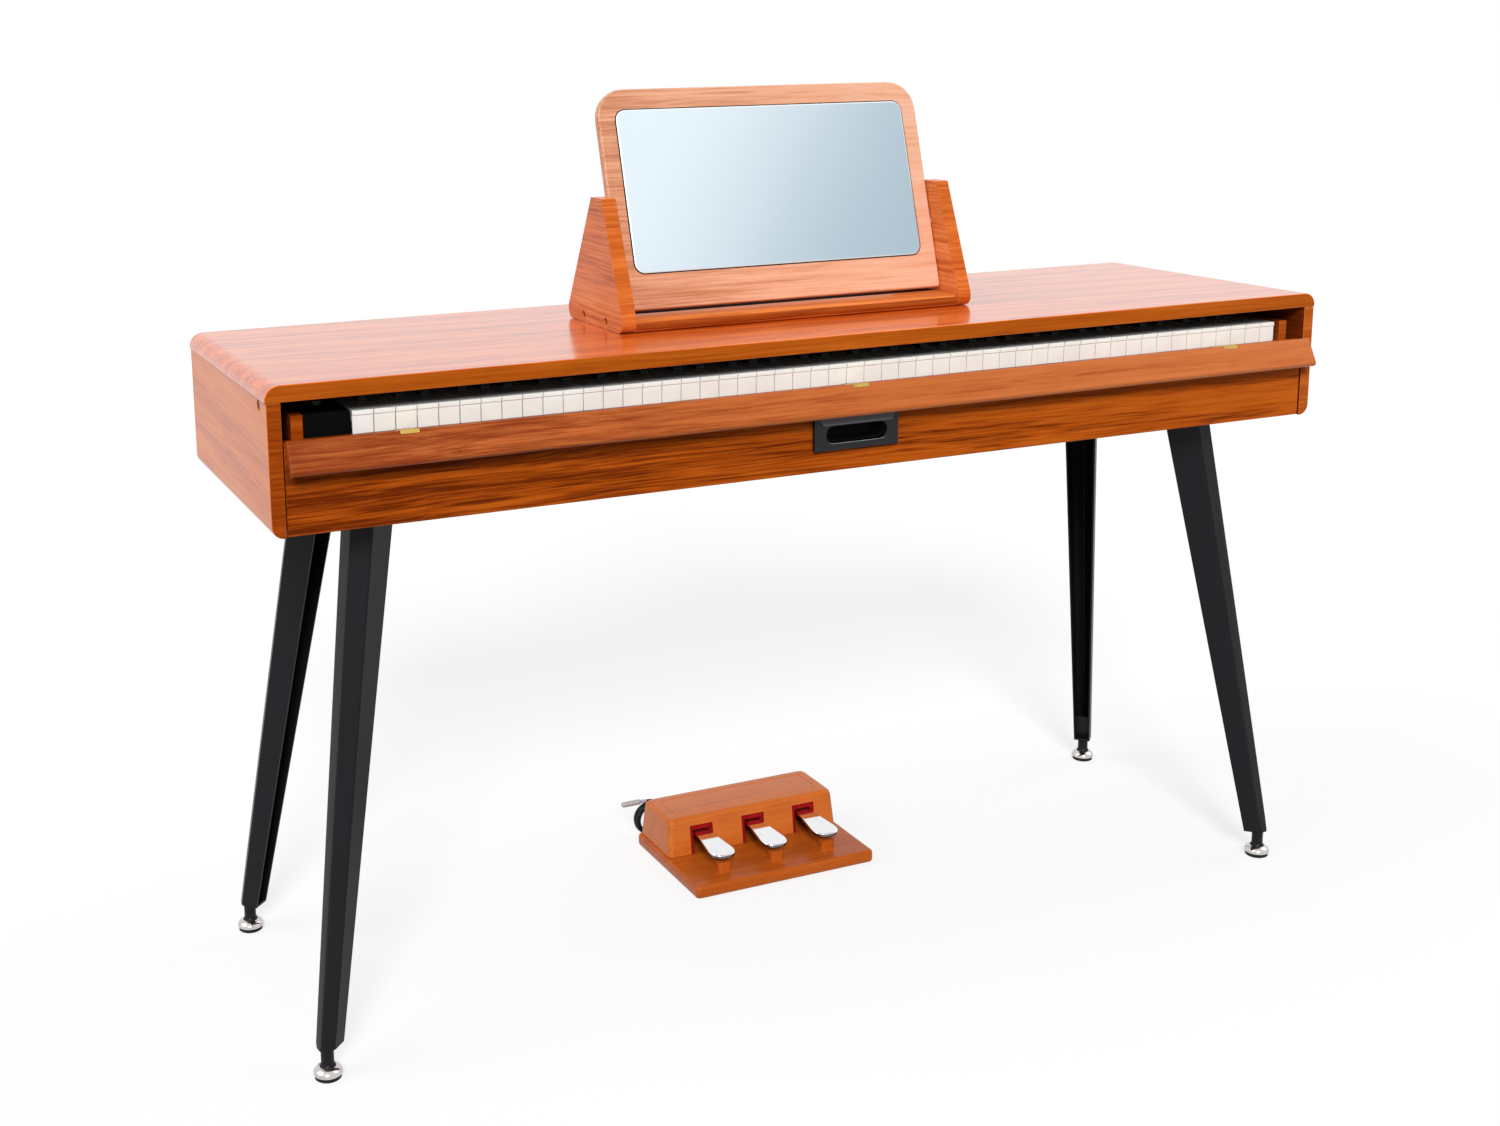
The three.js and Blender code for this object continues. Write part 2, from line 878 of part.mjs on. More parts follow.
function addKeyboardCase() {
  const blockRight = -caseHalf + endBlockWidth;
  const endBlock = solid(prismY(
    rounded([
      [-caseHalf, caseBottom],
      [blockRight, caseBottom],
      [blockRight, blockTop, blockRound],
      [-caseHalf, blockTop, blockRound],
    ]),
    keySetback,
    caseBack,
    blockRound / 2,
  ));
  const floor = block(-caseHalf, caseHalf, keySetback, caseBack, caseBottom, caseFloorTop);
  const rail = block(
    -caseHalf,
    caseHalf,
    pivotY - railWidth / 2,
    pivotY + railWidth / 2,
    caseBottom,
    keyBottom - seat,
  );
  const rear = block(-caseHalf, caseHalf, caseBack - caseWall, caseBack, caseBottom, deckTop);
  const deck = block(-caseHalf, caseHalf, deckFront, caseBack, deckUnder, deckTop);
  const lip = block(
    -caseHalf,
    caseHalf,
    deckFront,
    deckFront + deckThick,
    deckTop - deckLip,
    deckTop,
  );
  const riser = block(
    -caseHalf,
    blockRight - caseWall,
    deckFront,
    caseBack,
    blockTop - caseWall,
    deckUnder + weld,
  );
  const body = join(floor, rail, rear, deck, lip, endBlock, riser);
  const wells = [
    [knobY, knobRadius * shaftShare],
    [knobY + buttonPitch, buttonRadius * shaftShare],
  ].map(([y, radius]) => rod(
    radius + seat,
    controlX,
    y,
    blockTop - controlSink - seat,
    blockTop + overrun,
    16,
  ));
  const slots = soundSlots(caseBottom, caseFloorTop);
  addPart('keyboard_case', cut(body, ...wells, ...slots), blackPlastic);
}

const controlX = -caseHalf + endBlockWidth / 2;
const knobY = keySetback + knobSetback;

// The volume knob turns and the power button sinks, each on a shaft in the end block.
function addControls() {
  const bottom = blockTop - controlSink;
  const knob = turned([
    [0, bottom],
    [knobRadius * shaftShare, bottom],
    [knobRadius * shaftShare, blockTop + seat],
    [knobRadius, blockTop + seat],
    [knobRadius * knobTopShare, blockTop + knobHeight],
    [0, blockTop + knobHeight],
  ], 24);
  addPart('volume_knob', solid(knob.translate(controlX, knobY, 0)), charcoal);
  const buttonFoot = bottom + buttonTravel;
  const button = turned([
    [0, buttonFoot],
    [buttonRadius * shaftShare, buttonFoot],
    [buttonRadius * shaftShare, blockTop + seat + buttonTravel],
    [buttonRadius, blockTop + seat + buttonTravel],
    [buttonRadius, blockTop + buttonTravel + buttonHeight],
    [0, blockTop + buttonTravel + buttonHeight],
  ], 20);
  button.translate(controlX, knobY + buttonPitch, 0);
  addPart('power_button', solid(button), charcoal);
}

// Where the black keys lie: by the letter of the white key on their left, with their
// middle's distance from the line between the two white keys as a share of the pitch
const letters = ['a', 'b', 'c', 'd', 'e', 'f', 'g'];
const blackOffsetShares = { a: 0.13, c: -0.1, d: 0.1, f: -0.13, g: 0 };

function blackMiddle(index) {
  const share = blackOffsetShares[letters[index % letters.length]];
  const exists = share !== undefined && index >= 0 && index < whiteCount - 1;
  return exists ? rowStart + keyPitch * (index + 1 + share) : null;
}

// The foot that every key stands on over the pivot rail
function keyFoot(x0, x1, bottom, top) {
  return block(x0, x1, pivotY - keyFootLength / 2, pivotY + keyFootLength / 2, bottom, top);
}

// A white key: the full-width head with its skirt, then the tail between the black keys
function whiteKey(index) {
  const left = rowStart + keyPitch * index + keyGap / 2;
  const right = left + keyPitch - keyGap;
  const headOutline = rounded([
    [keySetback, keyBottom],
    [keySetback + keySkirtThick, keyBottom],
    [keySetback + keySkirtThick, plateBottom],
    [headEnd, plateBottom],
    [headEnd, keyTop],
    [keySetback, keyTop, keyEdge],
  ], 3);
  const head = solid(prismX(headOutline, left, right));
  const below = blackMiddle(index - 1);
  const above = blackMiddle(index);
  const reach = blackWidth / 2 + keyGap;
  const tailLeft = below === null ? left : below + reach;
  const tailRight = above === null ? right : above - reach;
  const tail = block(tailLeft, tailRight, headEnd - weld, tailEnd, plateBottom, keyTop);
  const foot = keyFoot(tailLeft, tailRight, keyBottom, plateBottom + weld);
  return join(head, tail, foot);
}

// A black key: its raised top slopes at the front and narrows upwards.
function blackKey(index) {
  const middle = blackMiddle(index);
  const bottom = plateBottom + blackRaise;
  const blackTop = keyTop + blackRise;
  const outline = rounded([
    [blackFront, bottom],
    [tailEnd, bottom],
    [tailEnd, keyTop],
    [blackEnd, keyTop],
    [blackEnd, blackTop],
    [blackFront + blackSlope, blackTop, blackEdge],
    [blackFront, keyTop + keyGap],
  ], 2);
  const geometry = prismX(outline, -blackWidth / 2, blackWidth / 2);
  const position = geometry.attributes.position;
  for (let point = 0; point < position.count; point += 1) {
    const rise = Math.max(0, (position.getZ(point) - keyTop) / blackRise);
    const width = 1 - (1 - blackTopWidthShare) * rise;
    position.setX(point, position.getX(point) * width);
  }
  return solid(geometry.translate(middle, 0, 0));
}

// The lowest octave has its keys one by one; the others hang together on a bar at the
// pivot rail, one for the white keys and one for the black.
function addKeys() {
  const bottom = plateBottom + blackRaise;
  const loose = letters.length;
  const whites = [];
  const blacks = [];
  for (let index = 0; index < whiteCount; index += 1) {
    const letter = letters[index % letters.length];
    const key = whiteKey(index);
    if (index < loose) {
      addPart(`white_key_${letter}`, key, whitePlastic);
    } else {
      whites.push(key);
    }
    const middle = blackMiddle(index);
    if (middle !== null) {
      const black = blackKey(index);
      if (index < loose) {
        const half = blackWidth / 2;
        const foot = keyFoot(middle - half, middle + half, keyBottom, bottom + weld);
        addPart(`black_key_${letter}_sharp`, join(black, foot), blackPlastic);
      } else {
        blacks.push(black);
      }
    }
  }
  const reach = blackWidth / 2;
  const barStart = blackMiddle(loose - 1) + reach + keyGap;
  const rowEnd = rowStart + keyPitch * whiteCount - keyGap / 2;
  const whiteBar = keyFoot(barStart, rowEnd, keyBottom, plateBottom);
  addPart('white_keys', join(whiteBar, ...whites), whitePlastic);
  const blackBar = keyFoot(barStart, rowEnd, barBottom, barBottom + barThick);
  const stems = [];
  for (let index = loose; index < whiteCount - 1; index += 1) {
    const middle = blackMiddle(index);
    if (middle !== null) {
      stems.push(keyFoot(middle - reach, middle + reach, keyTop - weld, barBottom + weld));
    }
  }
  addPart('black_keys', join(blackBar, ...stems, ...blacks), blackPlastic);
}

function bracketSolid() {
  const foot = cabinetTop + seat;
  const top = cabinetTop + bracketHeight;
  const outline = rounded([
    [bracketFootFront, foot, bracketFootRound],
    [bracketFootFront + bracketFootDepth, foot, bracketFootRound],
    [bracketTopFront + bracketTopDepth, top, bracketTopRound],
    [bracketTopFront, top, bracketTopRound],
  ], 5);
  const body = solid(prismX(outline, standHalf - bracketThick, standHalf));
  const bolts = [boltFront, boltFront + boltPitch].map((y) => rodX(
    boltRadius,
    y,
    cabinetTop + boltHeight,
    standHalf - boltDepth,
    standHalf + overrun,
    16,
  ));
  const pinHole = rodX(
    tiltPin + tiltPinClear,
    tiltSetback,
    cabinetTop + tiltHeight,
    standHalf - bracketThick - overrun,
    standHalf - bracketThick + tiltPinReach + seat,
    20,
  );
  return cut(body, ...bolts, pinHole);
}

function addStand() {
  const bracket = bracketSolid();
  addPart('left_stand_bracket', mirrored(bracket, -1), wood);
  addPart('right_stand_bracket', bracket, wood);
  const bull = standBaseThick / 2 - seat;
  const half = standHalf - bracketThick - seat;
  const outline = rounded([
    [standBaseFront, cabinetTop + seat, bull],
    [standBaseFront + standBaseDepth, cabinetTop + seat],
    [standBaseFront + standBaseDepth, cabinetTop + standBaseThick],
    [standBaseFront, cabinetTop + standBaseThick, bull],
  ], 5);
  addPart('stand_base', prismX(outline, -half, half), wood);
}

// The mirror board leans back about its two tilt pins: in its own group x is across,
// z along the board and y through it, with the pins' line at the origin.
function addMirror() {
  const tilt = new THREE.Group();
  tilt.position.set(0, tiltSetback, cabinetTop + tiltHeight);
  tilt.rotation.x = -boardLean;
  piano.add(tilt);
  const outline = rounded([
    [-boardHalf, -tiltDrop, boardFootCorner],
    [boardHalf, -tiltDrop, boardFootCorner],
    [boardHalf, boardHeight - tiltDrop, boardCorner],
    [-boardHalf, boardHeight - tiltDrop, boardCorner],
  ], 6);
  const board = solid(prismY(outline, -boardThick / 2, boardThick / 2, boardEdge));
  const glassTop = boardHeight - tiltDrop - glassDrop;
  const glassOutline = (grow) => rounded(rectangle(
    -glassHalf - grow,
    glassHalf + grow,
    glassTop - glassHeight - grow,
    glassTop + grow,
    glassCorner + grow,
  ), 6);
  const glassBack = glassRecess - boardThick / 2;
  const recess = solid(prismY(glassOutline(seat), -boardThick, glassBack));
  const pins = [-1, 1].map((sign) => rodX(
    tiltPin,
    0,
    0,
    sign > 0 ? boardHalf - overrun : -boardHalf - boardGap - tiltPinReach,
    sign > 0 ? boardHalf + boardGap + tiltPinReach : overrun - boardHalf,
    20,
  ));
  addPart('mirror_board', cut(join(board, ...pins), recess), wood, tilt);
  const glass = prismY(glassOutline(0), glassBack - seat - glassThick, glassBack - seat);
  addPart('mirror_glass', glass, mirrorGlass, tilt);
}

// Places in the pedal unit
const unitRight = pedalUnitLeft + pedalUnitWidth;
const unitBack = pedalUnitFront + pedalUnitDepth;
const boxFront = pedalUnitFront + boxSetback;
const boxBottom = pedalBaseThick + seat;
const boxTop = pedalBaseThick + boxHeight;
const axleY = pedalUnitFront + pedalAxleSetback;
const axleZ = pedalBaseThick + pedalAxleRaise;
const pedalMiddles = [0, 1, 2].map((index) => (
  pedalUnitLeft + firstPedal + pedalPitch * index));

// A box whose four walls lean in, with a rounded top edge, drawn smaller by a wall
function leaningBox(wall, bottom, top) {
  const height = boxTop - boxBottom;
  const edge = Math.max(boxEdge - wall, boxInnerEdge);
  const ring = (z, drawIn) => {
    const share = (z - boxBottom) / height;
    const left = pedalUnitLeft + boxSideInset + boxTopSideInset * share + wall + drawIn;
    const right = unitRight - boxSideInset - boxTopSideInset * share - wall - drawIn;
    const near = boxFront + boxFrontSlope * share + wall + drawIn;
    const far = unitBack - boxBackSlope * share - wall - drawIn;
    const corners = rounded(rectangle(left, right, near, far, edge), 2);
    return corners.map((point) => new THREE.Vector3(point.x, point.y, z));
  };
  const shoulder = [0, Math.PI / 6, Math.PI / 3, Math.PI / 2].map((angle) => ring(
    top - edge + edge * Math.sin(angle),
    edge * (1 - Math.cos(angle)) * boxShoulderShare,
  ));
  return solid(loft([ring(bottom, 0), ...shoulder]));
}

function addPedalBase() {
  const outline = rounded(
    rectangle(pedalUnitLeft, unitRight, pedalUnitFront, unitBack, pedalBaseCorner),
    3,
  );
  const slab = solid(prismZ(outline, 0, pedalBaseThick, pedalBaseEdge));
  const stops = pedalMiddles.map((x) => block(
    x - stopWidth / 2,
    x + stopWidth / 2,
    pedalUnitFront + stopSetback,
    pedalUnitFront + stopSetback + stopDepth,
    pedalBaseThick - weld,
    pedalBaseThick + stopHeight,
  ));
  const bearings = pedalMiddles.map((x) => block(
    x - bearingWidth / 2,
    x + bearingWidth / 2,
    axleY - bearingHalfDepth,
    axleY + bearingHalfDepth,
    pedalBaseThick - weld,
    axleZ - pedalThick / 2 - bearingDip,
  ));
  const cradles = pedalMiddles.map((x) => rodX(
    pedalHub + bearingClear,
    axleY,
    axleZ,
    x - bearingWidth / 2 - overrun,
    x + bearingWidth / 2 + overrun,
    24,
  ));
  addPart('pedal_base', cut(join(slab, ...stops, ...bearings), ...cradles), wood);
}

function addPedalBox() {
  const shell = leaningBox(0, boxBottom, boxTop);
  const hollow = leaningBox(boxWall, boxBottom - overrun, boxTop - boxWall);
  const slots = pedalMiddles.map((x) => block(
    x - slotWidth / 2,
    x + slotWidth / 2,
    boxFront - overrun,
    boxFront + boxFrontSlope + boxWall + overrun,
    boxBottom - overrun,
    pedalBaseThick + slotHeight,
  ));
  const glandHole = rodY(
    glandRadius + seat,
    glandX,
    glandZ,
    unitBack - boxBackSlope - boxWall - overrun,
    unitBack + overrun,
    16,
  );
  addPart('pedal_box', cut(shell, hollow, ...slots, glandHole), wood);
}

// The outline of one pedal, from the hub at the origin towards the player at -Y
function pedalOutline() {
  const tip = pedalTipSetback - pedalAxleSetback;
  const pad = tip + pedalPadLength;
  const wide = pedalLength / 2;
  const narrow = pedalNeck / 2;
  const shape = new THREE.Shape();
  shape.moveTo(-narrow, pedalHub / 2);
  shape.lineTo(-narrow, pad + pedalPadLength / 2);
  shape.bezierCurveTo(-narrow, pad, -wide, pad, -wide, pad - pedalPadLength / 2);
  shape.bezierCurveTo(-wide, tip + wide / 3, -wide / 2, tip, 0, tip);
  shape.bezierCurveTo(wide / 2, tip, wide, tip + wide / 3, wide, pad - pedalPadLength / 2);
  shape.bezierCurveTo(wide, pad, narrow, pad, narrow, pad + pedalPadLength / 2);
  shape.lineTo(narrow, pedalHub / 2);
  return shape.getPoints(4);
}

function addPedals() {
  const plate = solid(prismZ(
    pedalOutline(),
    -pedalThick / 2,
    pedalThick / 2,
    pedalBevel,
  ));
  const hub = rodX(pedalHub, 0, 0, -pedalNeck / 2, pedalNeck / 2, 20);
  const lever = join(plate, hub);
  ['left', 'middle', 'right'].forEach((name, index) => {
    const mesh = addPart(`${name}_pedal`, lever, chrome);
    mesh.position.set(pedalMiddles[index], axleY, axleZ);
    mesh.rotation.x = pedalSlope;
  });
}

// The coil's lowest pass rests on the floor, a share of a turn from an outer reversal.
const coilZ = coilOuter - coilPitch * coilRestShare + cordRadius;

// The coil stands upright behind the box: loops spiral in and out again, layer by layer,
// and each layer change climbs in the half turn where the spiral reverses.
function coilPoint(turn) {
  const perLayer = coilTurns / coilLayers;
  const layer = Math.min(Math.floor(turn / perLayer), coilLayers - 1);
  const within = turn - layer * perLayer;
  const inward = layer % 2 === 0 ? within : perLayer - within;
  const radius = coilOuter - coilPitch * inward;
  const change = Math.round(turn / perLayer);
  const near = turn - change * perLayer;
  const climbs = change > 0 && change < coilLayers && Math.abs(near) < 1 / 4;
  const height = climbs ? change - 1 / 2 + near * 2 : layer;
  const angle = Math.PI / 2 - 2 * Math.PI * (coilTurns - turn);
  return new THREE.Vector3(
    coilX + radius * Math.cos(angle),
    coilY + coilLayerPitch * height,
    coilZ + radius * Math.sin(angle),
  );
}

// A tube through points: each ring stands square to the line there, without twist.
function tube(points, radius, sides) {
  const along = points.map((point, index) => points[Math.min(index + 1, points.length - 1)]
    .clone().sub(points[Math.max(index - 1, 0)]).normalize());
  const positions = [];
  let side = new THREE.Vector3(0, 1, 0);
  if (Math.abs(along[0].y) > Math.SQRT1_2) {
    side = new THREE.Vector3(1, 0, 0);
  }
  points.forEach((point, index) => {
    side.addScaledVector(along[index], -side.dot(along[index])).normalize();
    const up = along[index].clone().cross(side);
    for (let step = 0; step < sides; step += 1) {
      const angle = (2 * Math.PI * step) / sides;
      const arm = side.clone().multiplyScalar(Math.cos(angle) * radius)
        .addScaledVector(up, Math.sin(angle) * radius);
      positions.push(...arm.add(point).toArray());
    }
  });
  const faces = [];
  const last = (points.length - 1) * sides;
  for (let step = 1; step < sides - 1; step += 1) {
    faces.push(0, step + 1, step);
    faces.push(last, last + step, last + step + 1);
  }
  for (let ring = 0; ring < points.length - 1; ring += 1) {
    for (let step = 0; step < sides; step += 1) {
      const a = ring * sides + step;
      const b = ring * sides + ((step + 1) % sides);
      faces.push(a, b, b + sides);
      faces.push(a, b + sides, a + sides);
    }
  }
  const geometry = new THREE.BufferGeometry();
  geometry.setAttribute('position', new THREE.Float32BufferAttribute(positions, 3));
  geometry.setIndex(faces);
  geometry.computeVertexNormals();
  return geometry;
}

// The least gap between passes of a tube that lie more than half a turn apart
function leastGap(points, apart, radius) {
  let least = Infinity;
  points.forEach((point, index) => {
    for (let other = index + apart; other < points.length; other += 1) {
      least = Math.min(least, point.distanceTo(points[other]));
    }
  });
  return least - 2 * radius;
}

function addCord() {
  const slope = boxBackSlope / (boxTop - boxBottom);
  const faceY = unitBack - slope * (glandZ - boxBottom);
  const inside = faceY - boxWall * glandShare;
  const flangeFront = faceY + seat + slope * glandFlange;
  const gland = turned([
    [0, 0],
    [glandRadius, 0],
    [glandRadius, flangeFront - inside],
    [glandFlange, flangeFront - inside],
    [glandFlange, flangeFront - inside + glandFlangeThick],
    [0, flangeFront - inside + glandFlangeThick],
  ], 20);
  gland.rotateX(-Math.PI / 2);
  gland.translate(glandX, inside, glandZ);
  addPart('pedal_cord_gland', solid(gland), blackPlastic);
  const glandEnd = flangeFront + glandFlangeThick + seat;

  const count = coilTurns * coilSteps;
  const loops = [];
  for (let step = 0; step <= count; step += 1) {
    loops.push(coilPoint(step / coilSteps));
  }
  const first = loops[0].clone().add(new THREE.Vector3(0, 0, -2 * cordRadius));
  const end = loops[count].clone().add(new THREE.Vector3(-2 * cordRadius, 0, 0));
  const coil = [first, ...loops, end];
  const gap = leastGap(coil, coilSteps / 2, cordRadius);
  console.log(`pedal cord coil: least gap to itself ${gap.toFixed(2)} mm`);
  addPart('pedal_cord_coil', tube(coil, cordRadius, coilSides), blackPlastic);

  // The lead's route, chosen by hand, from the gland to the coil's outer end
  const route = new THREE.CatmullRomCurve3([
    new THREE.Vector3(glandX, glandEnd, glandZ),
    new THREE.Vector3(glandX, glandEnd + 4, glandZ),
    new THREE.Vector3(-12.5, 406.5, 27),
    new THREE.Vector3(-13, 409.5, 20),
    new THREE.Vector3(-14.5, 410, 11),
    new THREE.Vector3(-19, 409.5, 3.8),
    new THREE.Vector3(-27, 409, 1.9),
    new THREE.Vector3(-35, 408.5, 1.9),
    new THREE.Vector3(-42.5, 408, 5),
    new THREE.Vector3(first.x, first.y, first.z - 8),
    new THREE.Vector3(first.x, first.y, first.z - 4),
    new THREE.Vector3(first.x, first.y, first.z - seat),
  ]);
  const lead = route.getSpacedPoints(22);
  addPart('pedal_cord_lead', tube(lead, cordRadius, cordSides), blackPlastic);

  const plug = turned([
    [0, 0],
    [plugNeck, 0],
    [plugNeck, plugNeckLength],
    [plugRadius, plugNeckLength + plugNeck],
    [plugRadius, plugLength - plugNeck],
    [plugRadius * Math.SQRT1_2, plugLength - plugNeck / 3],
    [0, plugLength],
  ], 16);
  plug.rotateY(-Math.PI / 2);
  plug.translate(end.x - seat, end.y, end.z);
  addPart('pedal_cord_plug', solid(plug), greyPlastic);
}

// Oval speakers that stand on the case floor behind the keys and face down
function addSpeakers() {
  const bottom = caseFloorTop + seat;
  const wide = speakerWidth / 2;
  const profile = [
    [0, speakerRim],
    [wide * speakerMagnetShare, speakerRim],
    [wide * speakerBasketShare, 0],
    [wide, 0],
    [wide, speakerRim],
    [wide * speakerBasketShare, speakerRim * 2],
    [wide * speakerMagnetShare, speakerHeight * speakerConeShare],
    [wide * speakerMagnetShare, speakerHeight],
    [0, speakerHeight],
  ];
  ['left', 'right'].forEach((name, index) => {
    const geometry = turned(profile, 24);
    geometry.scale(1, speakerDepth / speakerWidth, 1);
    const sign = index === 0 ? -1 : 1;
    geometry.translate(sign * speakerX, speakerY, bottom);
    addPart(`${name}_speaker`, solid(geometry), blackPlastic);
  });
}

addCabinet();
addSlides();
addLegs();
addDrawer();
addPull();
addFlap();
addKeyboardCase();
addControls();
addKeys();
addStand();
addMirror();
addPedalBase();
addPedalBox();
addPedals();
addCord();
addSpeakers();

// The whole model moves so that the middle of the object's footprint is the origin:
// the flap's edge is foremost, and a back foot's rim rearmost.
const flapReach = (flapHeel + flapLength) * Math.sin(flapOpenAngle)
  - (flapOffset + flapThick) * Math.cos(flapOpenAngle);
const foremost = hingeY - flapReach;
const rearmost = 2 * legMiddle - footCentre.y + footRadius;
piano.position.y = -(foremost + rearmost) / 2;
piano.updateMatrixWorld(true);

export default piano;
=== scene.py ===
"""A writing-desk digital piano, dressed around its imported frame.

The boards are bevelled copies of the frame's nodes, and the fittings, keys, feet, pedals and
cord are modelled new. Every finish is a material of shader nodes. All is in metres, with the
player in front at -Y, and lengths in millimetres go through mm().
"""

import logging
import math
from bisect import bisect_right
from collections.abc import Callable, Sequence
from dataclasses import dataclass
from enum import Enum

import bmesh
import bpy
from mathutils import Matrix, Vector


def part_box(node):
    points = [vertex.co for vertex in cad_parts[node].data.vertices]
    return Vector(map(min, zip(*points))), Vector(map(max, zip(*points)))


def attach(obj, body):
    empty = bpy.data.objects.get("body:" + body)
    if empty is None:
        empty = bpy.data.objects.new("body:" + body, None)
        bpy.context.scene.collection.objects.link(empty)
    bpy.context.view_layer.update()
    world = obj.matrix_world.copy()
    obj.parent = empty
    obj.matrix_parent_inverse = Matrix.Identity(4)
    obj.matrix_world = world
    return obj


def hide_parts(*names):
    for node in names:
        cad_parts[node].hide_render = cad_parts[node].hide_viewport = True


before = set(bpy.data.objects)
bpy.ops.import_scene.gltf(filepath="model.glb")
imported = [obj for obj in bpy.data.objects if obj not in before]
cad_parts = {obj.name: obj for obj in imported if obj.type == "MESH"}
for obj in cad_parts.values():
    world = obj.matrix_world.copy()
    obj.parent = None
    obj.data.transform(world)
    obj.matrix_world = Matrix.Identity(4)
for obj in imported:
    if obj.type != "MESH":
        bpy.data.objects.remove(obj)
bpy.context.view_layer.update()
log = logging.getLogger("piano")

CORNERS = ("front_left", "front_right", "back_left", "back_right")
SIDES = (("left", -1), ("right", 1))

Colour = tuple[float, float, float]
Place = tuple[float, float, float]
Profile = tuple[tuple[float, float], ...]
Socket = bpy.types.NodeSocket
Piece = bpy.types.Object
Part = bmesh.types.BMVert | bmesh.types.BMEdge | bmesh.types.BMFace


def mm(value: float) -> float:
    """Turns millimetres into metres."""
    return value * 0.001


def at(x: float, y: float, z: float) -> Vector:
    """A point given in millimetres, in metres."""
    return Vector((mm(x), mm(y), mm(z)))


def extent(node: str) -> tuple[Vector, Vector]:
    """The lowest and the highest corner of a frame node, in millimetres."""
    low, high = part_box(node)
    return low * 1000, high * 1000


class Axis(Enum):
    """A direction of the frame, by its number."""

    ACROSS = 0
    DEEP = 1
    UPRIGHT = 2


# Shader nodes


class NodeSheet:
    """Adds nodes to one node tree and joins their sockets."""

    def __init__(self, tree: bpy.types.NodeTree) -> None:
        """Keeps the tree that the nodes go into."""
        self.tree = tree

    def add(self, kind: str, inputs: dict | None = None, **settings) -> bpy.types.Node:
        """Adds one node.

        Args:
            kind: the node's type name, without its ShaderNode prefix.
            inputs: values or sockets by the input's name or number.
            settings: the node's own properties.

        Returns:
            The new node.
        """
        node = self.tree.nodes.new("ShaderNode" + kind)
        for key, value in settings.items():
            setattr(node, key, value)
        self.feed(node, inputs or {})
        return node

    def feed(self, node: bpy.types.Node, inputs: dict) -> None:
        """Sets a node's inputs.

        Args:
            node: the node.
            inputs: values or sockets by the input's name or number.
        """
        for key, value in inputs.items():
            if isinstance(value, Socket):
                self.tree.links.new(value, node.inputs[key])
            else:
                node.inputs[key].default_value = value

    def sum(self, operation: str, first: Socket | float, second: Socket | float = 0.0) -> Socket:
        """A Math node's result.

        Args:
            operation: the Math node's operation.
            first: its first value.
            second: its second value.

        Returns:
            The result's socket.
        """
        return self.add("Math", {0: first, 1: second}, operation=operation).outputs[0]

    def shared(self, first: Socket, share: float, second: Socket) -> Socket:
        """Two values added, each by its share.

        Args:
            first: the first value.
            share: the first value's share of 1.
            second: the second value, which has the rest.

        Returns:
            The result's socket.
        """
        return self.sum("ADD", self.sum("MULTIPLY", first, share),
                        self.sum("MULTIPLY", second, 1.0 - share))

    def noise(self, vector: Socket, scale: float, detail: float = 3.0) -> Socket:
        """A Noise Texture's factor.

        Args:
            vector: the coordinates.
            scale: features to a metre.
            detail: octaves.

        Returns:
            The factor's socket, about 0.5 in the middle.
        """
        node = self.add("TexNoise", {"Vector": vector, "Scale": scale, "Detail": detail})
        return node.outputs["Fac"]

    def stretched(self, vector: Socket, scale: Place) -> Socket:
        """The coordinates scaled by a factor on each axis.

        Args:
            vector: the coordinates.
            scale: the three factors.

        Returns:
            The scaled coordinates.
        """
        node = self.add("VectorMath", {0: vector, 1: scale}, operation="MULTIPLY")
        return node.outputs[0]

    def ramp(self, factor: Socket, stops: Sequence[tuple[float, Colour]]) -> Socket:
        """A colour for each value of a factor.

        Args:
            factor: the value from 0 to 1.
            stops: places and their linear colours.

        Returns:
            The colour's socket.
        """
        node = self.add("ValToRGB", {"Fac": factor})
        elements = node.color_ramp.elements
        for index, (spot, colour) in enumerate(stops):
            element = elements[index] if index < 2 else elements.new(spot)
            element.position = spot
            element.color = (*colour, 1.0)
        return node.outputs["Color"]

    def blend(self, factor: Socket | float, first: Socket | Colour,
              second: Socket | Colour) -> Socket:
        """A mix of two colours.

        Args:
            factor: the second colour's share.
            first: a socket or a linear colour.
            second: a socket or a linear colour.

        Returns:
            The colour's socket.
        """
        sides = [(*side, 1.0) if isinstance(side, tuple) else side for side in (first, second)]
        node = self.add("Mix", {"Factor": factor, 6: sides[0], 7: sides[1]}, data_type="RGBA")
        return node.outputs[2]

    def between(self, factor: Socket, low: float, high: float, start: float = 0.0,
                end: float = 1.0) -> Socket:
        """A range of a factor taken to another range, and held at its ends.

        Args:
            factor: the value.
            low: the result at the start.
            high: the result at the end.
            start: the value that the range starts at.
            end: the value that it ends at.

        Returns:
            The result's socket.
        """
        return self.add("MapRange", {
            "Value": factor, 1: start, 2: end, 3: low, 4: high}).outputs[0]


def emptied(owner: bpy.types.Material | bpy.types.World) -> NodeSheet:
    """The node tree of a material or a world, with nothing in it."""
    owner.use_nodes = True
    owner.node_tree.nodes.clear()
    return NodeSheet(owner.node_tree)


